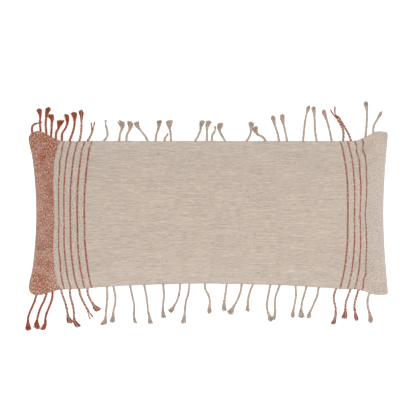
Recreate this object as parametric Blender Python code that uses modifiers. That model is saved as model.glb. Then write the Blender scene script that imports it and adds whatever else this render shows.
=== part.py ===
"""Throw pillow lying on its back: a woven cover with a corded fringe, a zip closure and a stuffed insert.

X runs along the pillow, Y across it and Z up through its thickness. The origin is at the bottom centre,
where the pillow rests. Every size is in metres. The cover's two plies meet at a knife edge seam, and each
ply is a grid shaped by the formulas in PlySurface and given its thickness by a Solidify modifier.
"""

import math
from dataclasses import dataclass

import bmesh
import bpy
from mathutils import Matrix, Vector

# ---------------------------------------------------------------- driving dimensions
CORNER_HALF_LENGTH = 0.4475  # centre to the cover's corners, along the pillow
CORNER_HALF_WIDTH = 0.2030
UPPER_HALF_WIDTH = 0.1780  # centre to the long seams, between the corners
LOWER_HALF_WIDTH = 0.1735
LOWER_BELLY = 0.0135  # how much the lower seam swings out towards the corners
LEFT_END_PULL = 0.0220  # how far the stuffing pulls the end seams in
RIGHT_END_PULL = 0.0160
FLARE_START = 0.20  # shares of the way to the end between which the sides swing out to the corners
FLARE_END = 0.80

THICKNESS = 0.1450
SEAM_HEIGHT = 0.0520  # the knife edge above the table
CORNER_DROP = 0.0160  # how much lower the cover's corners are
INSERT_CORNER_DROP = 0.0080
FILL_CORNER_DROP = 0.0060
CONTACT_HALF_WIDTH = 0.0880  # half of the flat patch that the pillow rests on
FLANK_POWER = 1.9
DOME_LENGTH_POWER = 5.0
DOME_WIDTH_POWER = 2.6

CLOTH = 0.0012
CASING = 0.0008
FLANGE = 0.0060  # where the two plies lie flat together, beside the seam
GAP = 0.0003  # between pieces that touch

INSERT_INSET = 0.0280
INSERT_CLEARANCE = 0.0020  # cover's outer face to insert's outer face, over the middle
FILL_CLEARANCE = 0.0020

ZIP_SHARE = 0.70  # where the zip lies on the flank, from the resting patch to the seam
ZIP_END_MARGIN = 0.1275  # from the zip's ends to the cover's corners
ZIP_OPENING_HALF = 0.0045
ZIP_CLOSED_BEYOND = 0.0150  # past the zip's ends the slit closes over this length
SLIT_LEAN = 0.25  # share of the cloth's thickness that each closed lip stands back by
TAPE_THICKNESS = 0.0005
TAPE_WIDTH = 0.0115
TAPE_CLEARANCE = 0.0008
TAPE_LEAN = math.radians(5.5)  # each half leans in with the curve of the flank
COIL_RADIUS = 0.0009
POST_HALF = 0.0005
TACK_LENGTH = 0.0030
TACK_HEIGHT = 0.0008
SLIDER_LENGTH = 0.0090
SLIDER_PLATE = 0.0010
SLIDER_FLANGE = 0.0005
LUG_THICKNESS = 0.0008
PIN_RADIUS = 0.0005
EYE_RADIUS = 0.0015
EYE_HALF_WIDTH = 0.0014
EYE_CLEARANCE = 0.0004  # under the eye, over the slider's plate
SLIDER_STOP = 0.0020  # between the slider and the tacks at either end of its travel
PULL_LENGTH = 0.0190
PULL_WIDTH = 0.0060
PULL_THICKNESS = 0.0012

FRINGE_RADIUS = 0.0020
TUFT_RADIUS = 0.0046
TUFT_LENGTH = 0.018
FRINGE_POINTS = 9
FRINGE_SAMPLES = 80  # fine steps along a route before its points are read off
DROP_RUN = 0.048  # a cord leaves the seam and reaches the table within this run
ROOT_OUT = 0.0018  # a cord's slanting end stays this far off the seam
FRINGE_SPLAY = 0.588  # share by which a cord lies further out from the middle, for each metre that it drops

# ---------------------------------------------------------------- sizes that follow
ZIP_HALF_LENGTH = CORNER_HALF_LENGTH - ZIP_END_MARGIN
STRAIGHT_HALF_LENGTH = ZIP_HALF_LENGTH + ZIP_CLOSED_BEYOND  # the cross section is constant this far
SLIT_CLOSED_HALF = GAP / 2 + SLIT_LEAN * CLOTH
ZIP_Y = CONTACT_HALF_WIDTH + ZIP_SHARE * (UPPER_HALF_WIDTH - FLANGE - CONTACT_HALF_WIDTH)
ZIP_RISE = (SEAM_HEIGHT - CLOTH) * ZIP_SHARE**FLANK_POWER
ZIP_SLOPE = FLANK_POWER * ZIP_RISE / (ZIP_Y - CONTACT_HALF_WIDTH)
ZIP_TILT = math.atan(ZIP_SLOPE)
COIL_INNER = POST_HALF + GAP
COIL_OUTER = COIL_INNER + 2 * COIL_RADIUS
TAPE_TOP = -(CLOTH + TAPE_CLEARANCE)
TAPE_BOTTOM = TAPE_TOP - TAPE_THICKNESS
COIL_CENTRE = TAPE_TOP + GAP + COIL_RADIUS
COIL_TOP = COIL_CENTRE + COIL_RADIUS
SLIDER_HALF_WIDTH = COIL_OUTER + GAP + SLIDER_FLANGE
SLIDER_REST_X = ZIP_HALF_LENGTH - TACK_LENGTH - SLIDER_STOP - SLIDER_LENGTH / 2
PIN_HEIGHT = COIL_TOP + GAP + SLIDER_PLATE + EYE_RADIUS + EYE_CLEARANCE

# Columns of every ply: shares of the zip length in the straight part, then shares of the way to the end
STRAIGHT_STOPS = (0.36, 0.72)
END_STOPS = (0.2, 0.35, 0.5, 0.65, 0.8, 0.92, 1.0)
# Rows of every ply, as shares of the half width at the ends of the pillow
ROW_SHARES = (-1.0, -0.92, -0.84, -0.68, -0.5, -0.25, 0.0, 0.25, 0.5, 0.68, 0.84, 1.0)
ZIP_ROW = 2
CONTACT_ROWS = (4, 8)

COLOURS = {
    "cream": (0.592, 0.496, 0.413),
    "rust": (0.328, 0.100, 0.045),
    "mixed": (0.450, 0.270, 0.190),
    "casing": (0.80, 0.79, 0.76),
    "filling": (0.86, 0.86, 0.84),
    "tape": (0.50, 0.42, 0.34),
    "coil": (0.55, 0.47, 0.38),
    "thread": (0.62, 0.54, 0.45),
    "metal": (0.50, 0.42, 0.28),
}

# Cord routes: name, yarn, then (place along the pillow, distance out from the seam) from root to tip
UPPER_FRINGE = (
    ("01", "rust", ((-0.440, 0.001), (-0.439, 0.015), (-0.428, 0.022), (-0.419, 0.014))),
    ("02", "rust", ((-0.417, 0.001), (-0.419, 0.021), (-0.418, 0.039), (-0.420, 0.054))),
    ("03", "rust", ((-0.402, 0.001), (-0.404, 0.024), (-0.402, 0.044), (-0.400, 0.060))),
    ("04", "rust", ((-0.378, 0.001), (-0.377, 0.016), (-0.371, 0.028), (-0.368, 0.044))),
    ("05", "rust", ((-0.363, 0.001), (-0.362, 0.018), (-0.354, 0.031), (-0.349, 0.044), (-0.348, 0.060))),
    ("06", "rust", ((-0.344, 0.001), (-0.337, 0.018), (-0.332, 0.036), (-0.331, 0.051), (-0.331, 0.069))),
    ("07", "mixed", ((-0.319, 0.001), (-0.315, 0.022), (-0.314, 0.040), (-0.314, 0.054), (-0.311, 0.070))),
    ("08", "mixed", ((-0.299, 0.001), (-0.290, 0.017), (-0.287, 0.029), (-0.290, 0.044))),
    ("09", "cream", ((-0.259, 0.001), (-0.251, 0.011), (-0.250, 0.022), (-0.254, 0.039), (-0.256, 0.053))),
    ("10", "cream", ((-0.221, 0.001), (-0.219, 0.017), (-0.214, 0.030), (-0.210, 0.042))),
    ("11", "cream", ((-0.150, 0.001), (-0.157, 0.013), (-0.166, 0.024), (-0.173, 0.034), (-0.177, 0.046))),
    ("12", "cream", ((-0.131, 0.001), (-0.129, 0.017), (-0.124, 0.031), (-0.122, 0.046))),
    ("13", "cream", ((-0.093, 0.001), (-0.094, 0.019), (-0.096, 0.032), (-0.097, 0.047))),
    ("14", "cream", ((-0.034, 0.001), (-0.026, 0.013), (-0.021, 0.025), (-0.019, 0.036), (-0.018, 0.047))),
    ("15", "cream", ((0.041, 0.001), (0.034, 0.012), (0.028, 0.023), (0.027, 0.038))),
    ("16", "cream", ((0.093, 0.001), (0.101, 0.012), (0.105, 0.026), (0.105, 0.043))),
    ("17", "cream", ((0.174, 0.001), (0.170, 0.020), (0.164, 0.038), (0.159, 0.057))),
    ("18", "cream", ((0.233, 0.001), (0.236, 0.030), (0.240, 0.057), (0.246, 0.084))),
    ("19", "cream", ((0.267, 0.001), (0.263, 0.025), (0.262, 0.053), (0.261, 0.078))),
    ("20", "cream", ((0.304, 0.001), (0.299, 0.025), (0.293, 0.048), (0.286, 0.069))),
    (
        "21",
        "mixed",
        ((0.332, 0.001), (0.333, 0.019), (0.330, 0.033), (0.322, 0.048), (0.312, 0.064), (0.306, 0.078)),
    ),
    ("22", "cream", ((0.388, 0.001), (0.391, 0.030), (0.392, 0.056), (0.391, 0.082))),
    ("23", "cream", ((0.409, 0.001), (0.408, 0.007), (0.411, 0.020), (0.419, 0.033), (0.427, 0.047))),
)
LOWER_FRINGE = (
    (
        "01",
        "rust",
        ((-0.428, 0.001), (-0.432, 0.014), (-0.439, 0.031), (-0.446, 0.047), (-0.449, 0.061), (-0.448, 0.083)),
    ),
    (
        "02",
        "rust",
        ((-0.401, 0.001), (-0.407, 0.017), (-0.415, 0.033), (-0.421, 0.049), (-0.425, 0.066), (-0.429, 0.086)),
    ),
    (
        "03",
        "rust",
        ((-0.386, 0.001), (-0.387, 0.017), (-0.394, 0.038), (-0.401, 0.055), (-0.404, 0.070), (-0.402, 0.091)),
    ),
    (
        "04",
        "mixed",
        ((-0.365, 0.001), (-0.360, 0.017), (-0.354, 0.034), (-0.350, 0.051), (-0.348, 0.065), (-0.348, 0.083)),
    ),
    (
        "05",
        "mixed",
        ((-0.343, 0.001), (-0.341, 0.019), (-0.336, 0.038), (-0.333, 0.054), (-0.332, 0.070), (-0.330, 0.092)),
    ),
    (
        "06",
        "mixed",
        ((-0.320, 0.001), (-0.317, 0.015), (-0.311, 0.029), (-0.304, 0.043), (-0.297, 0.057), (-0.294, 0.073)),
    ),
    ("07", "mixed", ((-0.299, 0.001), (-0.298, 0.014), (-0.292, 0.028), (-0.284, 0.042), (-0.276, 0.054))),
    ("08", "cream", ((-0.251, 0.001), (-0.250, 0.025), (-0.252, 0.049), (-0.254, 0.070), (-0.255, 0.093))),
    ("09", "cream", ((-0.194, 0.001), (-0.188, 0.028), (-0.184, 0.046), (-0.184, 0.064), (-0.186, 0.087))),
    ("10", "cream", ((-0.159, 0.001), (-0.153, 0.030), (-0.151, 0.048), (-0.149, 0.066), (-0.143, 0.090))),
    ("11", "cream", ((-0.112, 0.001), (-0.110, 0.028), (-0.112, 0.049), (-0.114, 0.077))),
    ("12", "cream", ((-0.070, 0.001), (-0.072, 0.022), (-0.077, 0.040), (-0.085, 0.055), (-0.094, 0.070))),
    ("13", "cream", ((-0.047, 0.001), (-0.050, 0.025), (-0.055, 0.041), (-0.058, 0.061), (-0.060, 0.093))),
    (
        "14",
        "cream",
        ((-0.009, 0.001), (-0.008, 0.014), (-0.001, 0.027), (0.003, 0.041), (0.002, 0.055), (-0.006, 0.067)),
    ),
    ("15", "cream", ((0.045, 0.001), (0.043, 0.016), (0.040, 0.037), (0.036, 0.060))),
    ("16", "cream", ((0.082, 0.001), (0.079, 0.019), (0.072, 0.039), (0.062, 0.057), (0.055, 0.071))),
    ("17", "cream", ((0.110, 0.001), (0.103, 0.016), (0.098, 0.037), (0.096, 0.062))),
    (
        "18",
        "cream",
        ((0.153, 0.001), (0.149, 0.018), (0.146, 0.035), (0.144, 0.053), (0.147, 0.069), (0.154, 0.086)),
    ),
    ("19", "cream", ((0.215, 0.001), (0.216, 0.022), (0.214, 0.039), (0.210, 0.058), (0.207, 0.075))),
    ("20", "cream", ((0.242, 0.001), (0.237, 0.018), (0.232, 0.036), (0.229, 0.055), (0.227, 0.074))),
    ("21", "mixed", ((0.315, 0.001), (0.310, 0.016), (0.310, 0.031), (0.314, 0.049), (0.313, 0.083))),
    ("22", "mixed", ((0.351, 0.001), (0.345, 0.016), (0.340, 0.031), (0.338, 0.049), (0.339, 0.068))),
    ("23", "cream", ((0.399, 0.001), (0.395, 0.011), (0.394, 0.027), (0.397, 0.043), (0.403, 0.064))),
)

PARTS = "throw_pillow"
CUTTERS = "cutters"


# ---------------------------------------------------------------- scene helpers
def clear_scene():
    """Remove every object, so that only the pillow is in the scene."""
    for item in list(bpy.data.objects):
        bpy.data.objects.remove(item, do_unlink=True)


def make_collection(name):
    """Return a new collection that is linked to the scene."""
    collection = bpy.data.collections.new(name)
    bpy.context.scene.collection.children.link(collection)
    return collection


def make_material(name, colour, roughness=0.9, metallic=0.0):
    """Return a Principled material in one plain colour."""
    material = bpy.data.materials.new(name)
    material.use_nodes = True
    shader = material.node_tree.nodes["Principled BSDF"]
    shader.inputs["Base Color"].default_value = (*colour, 1.0)
    shader.inputs["Roughness"].default_value = roughness
    shader.inputs["Metallic"].default_value = metallic
    return material


def finish_part(name, mesh, collection, colour, roughness=0.9, metallic=0.0):
    """Put a mesh in the collection as the part of that name, in its own material."""
    part = bpy.data.objects.new(name, mesh)
    mesh.materials.append(make_material(name, colour, roughness, metallic))
    collection.objects.link(part)
    return part


def mesh_from(name, bm):
    """Turn a finished bmesh into a mesh and free it."""
    mesh = bpy.data.meshes.new(name)
    bm.to_mesh(mesh)
    bm.free()
    return mesh


# ---------------------------------------------------------------- the plies' shape
def corner_flare(share):
    """How far the sides have swung out to the corners, from 0 to 1, at a share of the way to the end."""
    reach = min(1.0, max(0.0, (share - FLARE_START) / (FLARE_END - FLARE_START)))
    return reach * reach * (3.0 - 2.0 * reach)


@dataclass(frozen=True)
class Column:
    """One column of a ply's grid: side is -1 or 1, and share runs from the straight part to the end."""

    side: float
    along: float
    share: float
    flange: bool


@dataclass(frozen=True)
class Row:
    """One row of a ply's grid, counted from the lower seam to the upper one."""

    index: int
    flange: bool
    slit: float = 0.0  # -1 or 1 where the row is a lip of the zip's slit


def make_columns():
    """Return the grid's columns from the left seam to the right one."""
    straight = [stop * ZIP_HALF_LENGTH for stop in STRAIGHT_STOPS]
    straight += [ZIP_HALF_LENGTH, ZIP_HALF_LENGTH + ZIP_CLOSED_BEYOND]
    half = [Column(1.0, along, 0.0, False) for along in straight]
    half += [Column(1.0, STRAIGHT_HALF_LENGTH, share, False) for share in END_STOPS]
    half.append(Column(1.0, STRAIGHT_HALF_LENGTH, 1.0, True))
    mirrored = [Column(-1.0, c.along, c.share, c.flange) for c in reversed(half)]
    return mirrored + [Column(1.0, 0.0, 0.0, False)] + half


@dataclass(frozen=True)
class PlySurface:
    """Outer faces of a pair of plies whose seam lies inset from the cover's seam."""

    inset: float
    flange: float
    lip: float  # half the height between the two outer faces at the seam
    top: float
    bottom: float
    corner_drop: float
    has_zip: bool = False

    def side_half_width(self, column, sign):
        """Half width at a column, measured to the inner edge of the flange."""
        if sign > 0:
            middle = UPPER_HALF_WIDTH
        else:
            reach = min(1.0, column.along / STRAIGHT_HALF_LENGTH)
            middle = LOWER_HALF_WIDTH + LOWER_BELLY * reach**2
        flare = (CORNER_HALF_WIDTH - middle) * corner_flare(column.share)
        return middle + flare - self.inset - self.flange

    def along(self, column, row_share):
        """Distance of a grid point along the pillow."""
        pull = LEFT_END_PULL if column.side < 0 else RIGHT_END_PULL
        end = CORNER_HALF_LENGTH - self.inset - self.flange - pull * (1.0 - row_share**2)
        reach = column.along + (end - column.along) * column.share
        return column.side * (reach + (self.flange if column.flange else 0.0))

    def seam_level(self, column, row_share):
        """Height of the seam's middle plane."""
        return SEAM_HEIGHT - self.corner_drop * column.share**2 * row_share**4

    def front_point(self, column, row):
        """Point of the upper outer face."""
        share = ROW_SHARES[row.index]
        sign = 1.0 if share > 0 else -1.0
        half_width = self.side_half_width(column, sign)
        across = share * half_width + (sign * self.flange if row.flange else 0.0)
        x = self.along(column, share)
        end = CORNER_HALF_LENGTH - self.inset - self.flange
        dome_x = min(1.0, abs(x) / end) if column.share < 1.0 else 1.0
        dome = (1.0 - dome_x**DOME_LENGTH_POWER) * (1.0 - abs(share) ** DOME_WIDTH_POWER)
        rise = self.top - SEAM_HEIGHT - self.lip
        return Vector((x, across, self.seam_level(column, share) + self.lip + rise * dome))

    def contact_half_width(self):
        """Half width of the patch that lies flat."""
        return CONTACT_HALF_WIDTH - 0.6 * self.inset

    def flank_level(self, distance, half_width, zip_side):
        """Height of the lower outer face in the straight part, at a distance from the middle line."""
        contact = self.contact_half_width()
        rise = SEAM_HEIGHT - self.lip - self.bottom
        if distance <= contact:
            return self.bottom
        if not (self.has_zip and zip_side):
            return self.bottom + rise * ((distance - contact) / (half_width - contact)) ** FLANK_POWER
        if distance <= ZIP_Y:
            return ZIP_RISE * ((distance - contact) / (ZIP_Y - contact)) ** FLANK_POWER
        beyond = distance - ZIP_Y
        reach = half_width - ZIP_Y
        bend = (rise - ZIP_RISE - ZIP_SLOPE * reach) / reach**2
        return ZIP_RISE + ZIP_SLOPE * beyond + bend * beyond**2

    def straight_distance(self, row, half_width):
        """Distance of a row of the lower face from the middle line, in the straight part."""
        lower, upper = CONTACT_ROWS
        contact = self.contact_half_width()
        if lower <= row.index <= upper:
            return contact * abs(ROW_SHARES[row.index]) / abs(ROW_SHARES[lower])
        if row.index > upper or not self.has_zip:
            steps = len(ROW_SHARES) - 1 - upper if row.index > upper else lower
            done = row.index - upper if row.index > upper else lower - row.index
            return contact + (half_width - contact) * done / steps
        if row.index >= ZIP_ROW:
            return ZIP_Y + (contact - ZIP_Y) * (row.index - ZIP_ROW) / (lower - ZIP_ROW)
        return ZIP_Y + (half_width - ZIP_Y) * (ZIP_ROW - row.index) / ZIP_ROW

    def back_point(self, column, row):
        """Point of the lower outer face."""
        share = ROW_SHARES[row.index]
        sign = 1.0 if share > 0 else -1.0
        straight = Column(column.side, column.along, 0.0, False)
        straight_half = self.side_half_width(straight, sign)
        distance = self.straight_distance(row, straight_half)
        if row.slit:
            opening = SLIT_CLOSED_HALF if column.along > ZIP_HALF_LENGTH else ZIP_OPENING_HALF
            distance += row.slit * opening * math.cos(ZIP_TILT)
        flank = self.flank_level(distance, straight_half, sign < 0)
        end_distance = abs(share) * self.side_half_width(
            Column(column.side, column.along, 1.0, False), sign
        )
        if row.slit:
            end_distance += row.slit * SLIT_CLOSED_HALF
        blend = corner_flare(column.share)
        across = sign * (distance + (end_distance - distance) * blend)
        across += sign * self.flange if row.flange else 0.0
        depth = SEAM_HEIGHT - self.lip - flank
        edge = self.seam_level(column, share) - self.lip
        level = edge - depth * (1.0 - column.share**FLANK_POWER)
        return Vector((self.along(column, share), across, level))


COVER = PlySurface(0.0, FLANGE, CLOTH + GAP / 2, THICKNESS, 0.0, CORNER_DROP, True)
INSERT = PlySurface(
    INSERT_INSET,
    FLANGE,
    CASING + GAP / 2,
    THICKNESS - INSERT_CLEARANCE,
    INSERT_CLEARANCE,
    INSERT_CORNER_DROP,
)
FILL = PlySurface(
    INSERT_INSET + 2 * FLANGE,
    0.0,
    0.0,
    THICKNESS - INSERT_CLEARANCE - FILL_CLEARANCE,
    INSERT_CLEARANCE + FILL_CLEARANCE,
    FILL_CORNER_DROP,
)


def ply_mesh(name, columns, rows, point, faces_down):
    """Shape a flat grid into one ply's outer face."""
    bm = bmesh.new()
    steps_x, steps_y = len(columns) - 1, len(rows) - 1
    bmesh.ops.create_grid(bm, x_segments=steps_x, y_segments=steps_y, size=0.5)
    for vert in bm.verts:
        column = columns[round((vert.co.x + 0.5) * steps_x)]
        row = rows[round((vert.co.y + 0.5) * steps_y)]
        vert.co = point(column, row)
    if faces_down:
        bmesh.ops.reverse_faces(bm, faces=bm.faces)
    return mesh_from(name, bm)


def add_ply(name, rows, point, faces_down, wall, collection, colour):
    """Make one ply: a shaped grid whose wall lies inside its outer face."""
    mesh = ply_mesh(name, make_columns(), rows, point, faces_down)
    part = finish_part(name, mesh, collection, colour)
    solidify = part.modifiers.new("wall", "SOLIDIFY")
    solidify.thickness = wall
    solidify.offset = -1.0
    return part


def all_rows():
    """Rows from seam to seam, with the flange's edge at each side."""
    last = len(ROW_SHARES) - 1
    return [Row(0, True)] + [Row(i, False) for i in range(last + 1)] + [Row(last, True)]


def build_cover(collection):
    """Make the front panel, and the back panel in two parts beside the zip."""
    last = len(ROW_SHARES) - 1
    strip_rows = [Row(0, True)] + [Row(i, False) for i in range(ZIP_ROW)] + [Row(ZIP_ROW, False, 1.0)]
    main_rows = [Row(ZIP_ROW, False, -1.0)]
    main_rows += [Row(i, False) for i in range(ZIP_ROW + 1, last + 1)] + [Row(last, True)]
    cream = COLOURS["cream"]
    add_ply("front_panel", all_rows(), COVER.front_point, False, CLOTH, collection, cream)
    add_ply("back_panel_upper", main_rows, COVER.back_point, True, CLOTH, collection, cream)
    add_ply("back_panel_lower", strip_rows, COVER.back_point, True, CLOTH, collection, cream)


def build_insert(collection):
    """Make the insert's two casing plies and its filling."""
    casing = COLOURS["casing"]
    add_ply("insert_front", all_rows(), INSERT.front_point, False, CASING, collection, casing)
    add_ply("insert_back", all_rows(), INSERT.back_point, True, CASING, collection, casing)
    columns = [column for column in make_columns() if not column.flange]
    rows = [Row(index, False) for index in range(len(ROW_SHARES))]
    upper = ply_mesh("filling_top", columns, rows, FILL.front_point, False)
    lower = ply_mesh("filling_bottom", columns, rows, FILL.back_point, True)
    bm = bmesh.new()
    for half in (upper, lower):
        bm.from_mesh(half)
        bpy.data.meshes.remove(half)
    bmesh.ops.remove_doubles(bm, verts=bm.verts, dist=0.0001)
    finish_part("insert_fill", mesh_from("insert_fill", bm), collection, COLOURS["filling"])


# ---------------------------------------------------------------- the zip
def zip_frame(along=0.0, out=0.0):
    """Place on the flank: X along the zip, Y towards the seam and Z out of the cloth."""
    cos, sin = math.cos(ZIP_TILT), math.sin(ZIP_TILT)
    turn = Matrix(((1, 0, 0), (0, -cos, -sin), (0, sin, -cos))).to_4x4()
    place = Vector((along, -ZIP_Y, ZIP_RISE)) + turn.to_3x3() @ Vector((0.0, 0.0, out))
    return Matrix.Translation(place) @ turn


def box_mesh(name, low, high):
    """Return a box between two corners."""
    bm = bmesh.new()
    bmesh.ops.create_cube(bm, size=1.0)
    size = Vector(high) - Vector(low)
    bmesh.ops.scale(bm, vec=size, verts=bm.verts)
    bmesh.ops.translate(bm, vec=(Vector(high) + Vector(low)) / 2, verts=bm.verts)
    return mesh_from(name, bm)


def rod_mesh(name, radius, half_length, axis, centre=(0.0, 0.0, 0.0), segments=12):
    """Return a closed rod along the X or Y axis."""
    bm = bmesh.new()
    bmesh.ops.create_cone(
        bm, cap_ends=True, segments=segments, radius1=radius, radius2=radius, depth=2 * half_length
    )
    turn = Matrix.Rotation(math.pi / 2, 3, "Y" if axis == "X" else "X")
    bmesh.ops.rotate(bm, cent=(0, 0, 0), matrix=turn, verts=bm.verts)
    bmesh.ops.translate(bm, vec=centre, verts=bm.verts)
    return mesh_from(name, bm)


def combine(target, mesh, operation, cutters):
    """Join a mesh to the target, or cut it away, with a Boolean modifier."""
    tool = bpy.data.objects.new(f"{target.name}_{operation.lower()}_{len(target.modifiers)}", mesh)
    cutters.objects.link(tool)
    tool.matrix_world = target.matrix_world
    tool.hide_render = True
    tool.display_type = "WIRE"
    modifier = target.modifiers.new(tool.name, "BOOLEAN")
    modifier.operation = operation
    modifier.object = tool


def build_zip_chain(collection):
    """Make both halves of the zip and the thread tacks at its ends."""
    reach = ZIP_HALF_LENGTH + ZIP_CLOSED_BEYOND / 2
    coil_middle = COIL_INNER + COIL_RADIUS
    for name, sign in (("upper", -1.0), ("lower", 1.0)):
        inner, outer = sign * COIL_INNER, sign * (COIL_INNER + TAPE_WIDTH)
        tape = box_mesh(
            f"zip_tape_{name}",
            (-reach, min(inner, outer), TAPE_BOTTOM),
            (reach, max(inner, outer), TAPE_TOP),
        )
        part = finish_part(f"zip_tape_{name}", tape, collection, COLOURS["tape"])
        fold = Matrix.Translation((0.0, inner, TAPE_TOP))
        lean = Matrix.Rotation(-sign * TAPE_LEAN, 4, "X")
        part.matrix_world = zip_frame() @ fold @ lean @ fold.inverted()
        centre = (0.0, sign * coil_middle, COIL_CENTRE)
        coil = rod_mesh(f"zip_coil_{name}", COIL_RADIUS, ZIP_HALF_LENGTH, "X", centre)
        part = finish_part(f"zip_coil_{name}", coil, collection, COLOURS["coil"], 0.5)
        part.matrix_world = zip_frame()
    tack_low = COIL_TOP + GAP
    for name, sign in (("left", -1.0), ("right", 1.0)):
        tack = box_mesh(
            f"zip_tack_{name}",
            (-TACK_LENGTH / 2, -COIL_OUTER - FLANGE / 5, tack_low),
            (TACK_LENGTH / 2, COIL_OUTER + FLANGE / 5, tack_low + TACK_HEIGHT),
        )
        part = finish_part(f"zip_tack_{name}", tack, collection, COLOURS["thread"])
        part.matrix_world = zip_frame(sign * (ZIP_HALF_LENGTH - TACK_LENGTH / 2))


def build_slider(collection, cutters):
    """Make the slider: two plates on a post, side flanges, and two lugs that hold a cross pin."""
    half, width = SLIDER_LENGTH / 2, SLIDER_HALF_WIDTH
    plate_low = COIL_TOP + GAP
    plate_high = plate_low + SLIDER_PLATE
    under_high = TAPE_BOTTOM - GAP - width * math.tan(TAPE_LEAN)
    under_low = under_high - SLIDER_PLATE
    bite = SLIDER_PLATE / 2  # how deep joined shapes run into each other
    top = box_mesh("zip_slider", (-half, -width, plate_low), (half, width, plate_high))
    slider = finish_part("zip_slider", top, collection, COLOURS["metal"], 0.35, 1.0)
    slider.matrix_world = zip_frame(SLIDER_REST_X)
    joined = [
        ((-half * 0.98, -width * 0.98, under_low), (half * 0.98, width * 0.98, under_high)),
        ((-half * 0.9, -POST_HALF, under_high - bite), (half * 0.9, POST_HALF, plate_low + bite)),
    ]
    lug_inner = EYE_HALF_WIDTH + GAP
    for sign in (-1.0, 1.0):
        inner, outer = sign * (COIL_OUTER + GAP), sign * width * 0.99
        low_y, high_y = min(inner, outer), max(inner, outer)
        flange_low = TAPE_TOP + GAP
        joined.append(((-half * 0.95, low_y, flange_low), (half * 0.95, high_y, plate_low + bite)))
        inner, outer = sign * lug_inner, sign * (lug_inner + LUG_THICKNESS)
        low_y, high_y = min(inner, outer), max(inner, outer)
        lug_top = PIN_HEIGHT + 2 * PIN_RADIUS
        lug_half = 2.6 * PIN_RADIUS
        joined.append(((-lug_half, low_y, plate_high - bite), (lug_half, high_y, lug_top)))
    for index, (low, high) in enumerate(joined):
        combine(slider, box_mesh(f"slider_block_{index}", low, high), "UNION", cutters)
    pin = rod_mesh(
        "slider_pin", PIN_RADIUS, lug_inner + LUG_THICKNESS / 2, "Y", (0.0, 0.0, PIN_HEIGHT)
    )
    combine(slider, pin, "UNION", cutters)


def build_pull(collection, cutters):
    """Make the pull: an eye round the slider's pin, a neck and a tab that hangs from it."""
    eye = rod_mesh("zip_pull", EYE_RADIUS, EYE_HALF_WIDTH, "Y", segments=16)
    pull = finish_part("zip_pull", eye, collection, COLOURS["metal"], 0.35, 1.0)
    pull.matrix_world = zip_frame(SLIDER_REST_X, PIN_HEIGHT)
    half_thick = PULL_THICKNESS / 2
    shoulder = 2.4 * EYE_RADIUS
    neck = box_mesh(
        "pull_neck",
        (-half_thick, -EYE_HALF_WIDTH * 0.9, (EYE_RADIUS + PIN_RADIUS + GAP) / 2),
        (half_thick, EYE_HALF_WIDTH * 0.9, shoulder + half_thick),
    )
    combine(pull, neck, "UNION", cutters)
    tab = box_mesh(
        "pull_tab",
        (-half_thick * 0.98, -PULL_WIDTH / 2, shoulder),
        (half_thick * 0.98, PULL_WIDTH / 2, PULL_LENGTH),
    )
    combine(pull, tab, "UNION", cutters)
    hole = rod_mesh("pull_hole", PIN_RADIUS + GAP, EYE_HALF_WIDTH * 2, "Y", segments=12)
    combine(pull, hole, "DIFFERENCE", cutters)


# ---------------------------------------------------------------- the fringe
def seam_edge(along, sign):
    """Distance of a long seam's outer edge from the middle line, and its height."""
    reach = CORNER_HALF_LENGTH - FLANGE - STRAIGHT_HALF_LENGTH
    share = (abs(along) - STRAIGHT_HALF_LENGTH) / reach
    share = min(1.0, max(0.0, share))
    column = Column(1.0, min(abs(along), STRAIGHT_HALF_LENGTH), share, False)
    half_width = COVER.side_half_width(column, sign) + FLANGE
    return half_width, COVER.seam_level(column, 1.0)


def smooth_curve(points, samples):
    """Return evenly counted samples of a Catmull-Rom curve through the points."""
    padded = [2 * points[0] - points[1]] + points + [2 * points[-1] - points[-2]]
    curve = []
    spans = len(points) - 1
    for step in range(samples + 1):
        place = min(step / samples * spans, spans - 1e-6)
        index, t = int(place), place - int(place)
        a, b, c, d = padded[index : index + 4]
        linear, square, cube = c - a, 2 * a - 5 * b + 4 * c - d, 3 * b - a - 3 * c + d
        curve.append(0.5 * (2 * b + linear * t + square * t**2 + cube * t**3))
    return curve


def lengths_along(curve):
    """Return the distance from the first point to each point."""
    total, result = 0.0, [0.0]
    for before, after in zip(curve, curve[1:]):
        total += (after - before).length
        result.append(total)
    return result


def tuft_share(remaining):
    """How far a cord has opened into its tuft, from 0 at the neck to 1."""
    return min(1.0, max(0.0, (TUFT_LENGTH - remaining) / (TUFT_LENGTH * 0.6)))


def cord_route(route, sign):
    """Return a cord's centre line: out of the seam, down to the table and along it, as the route lies."""
    edge, level = seam_edge(route[0][0], sign)
    flat = [Vector((x, sign * (edge + max(out, ROOT_OUT)), 0.0)) for x, out in route]
    plan = smooth_curve(flat, FRINGE_SAMPLES)
    run = lengths_along(plan)
    for point, done in zip(plan, run):
        remaining = run[-1] - done
        radius = FRINGE_RADIUS + (TUFT_RADIUS - FRINGE_RADIUS) * tuft_share(remaining)
        rest = radius + GAP
        t = min(1.0, done / min(DROP_RUN, run[-1] * 0.9))
        point.z = rest + (level - rest) * (1.0 - t) ** 2 * (1.0 + 2.0 * t)
        splay = 1.0 + FRINGE_SPLAY * (level - point.z)
        point.x, point.y = point.x * splay, point.y * splay
    return plan


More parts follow.
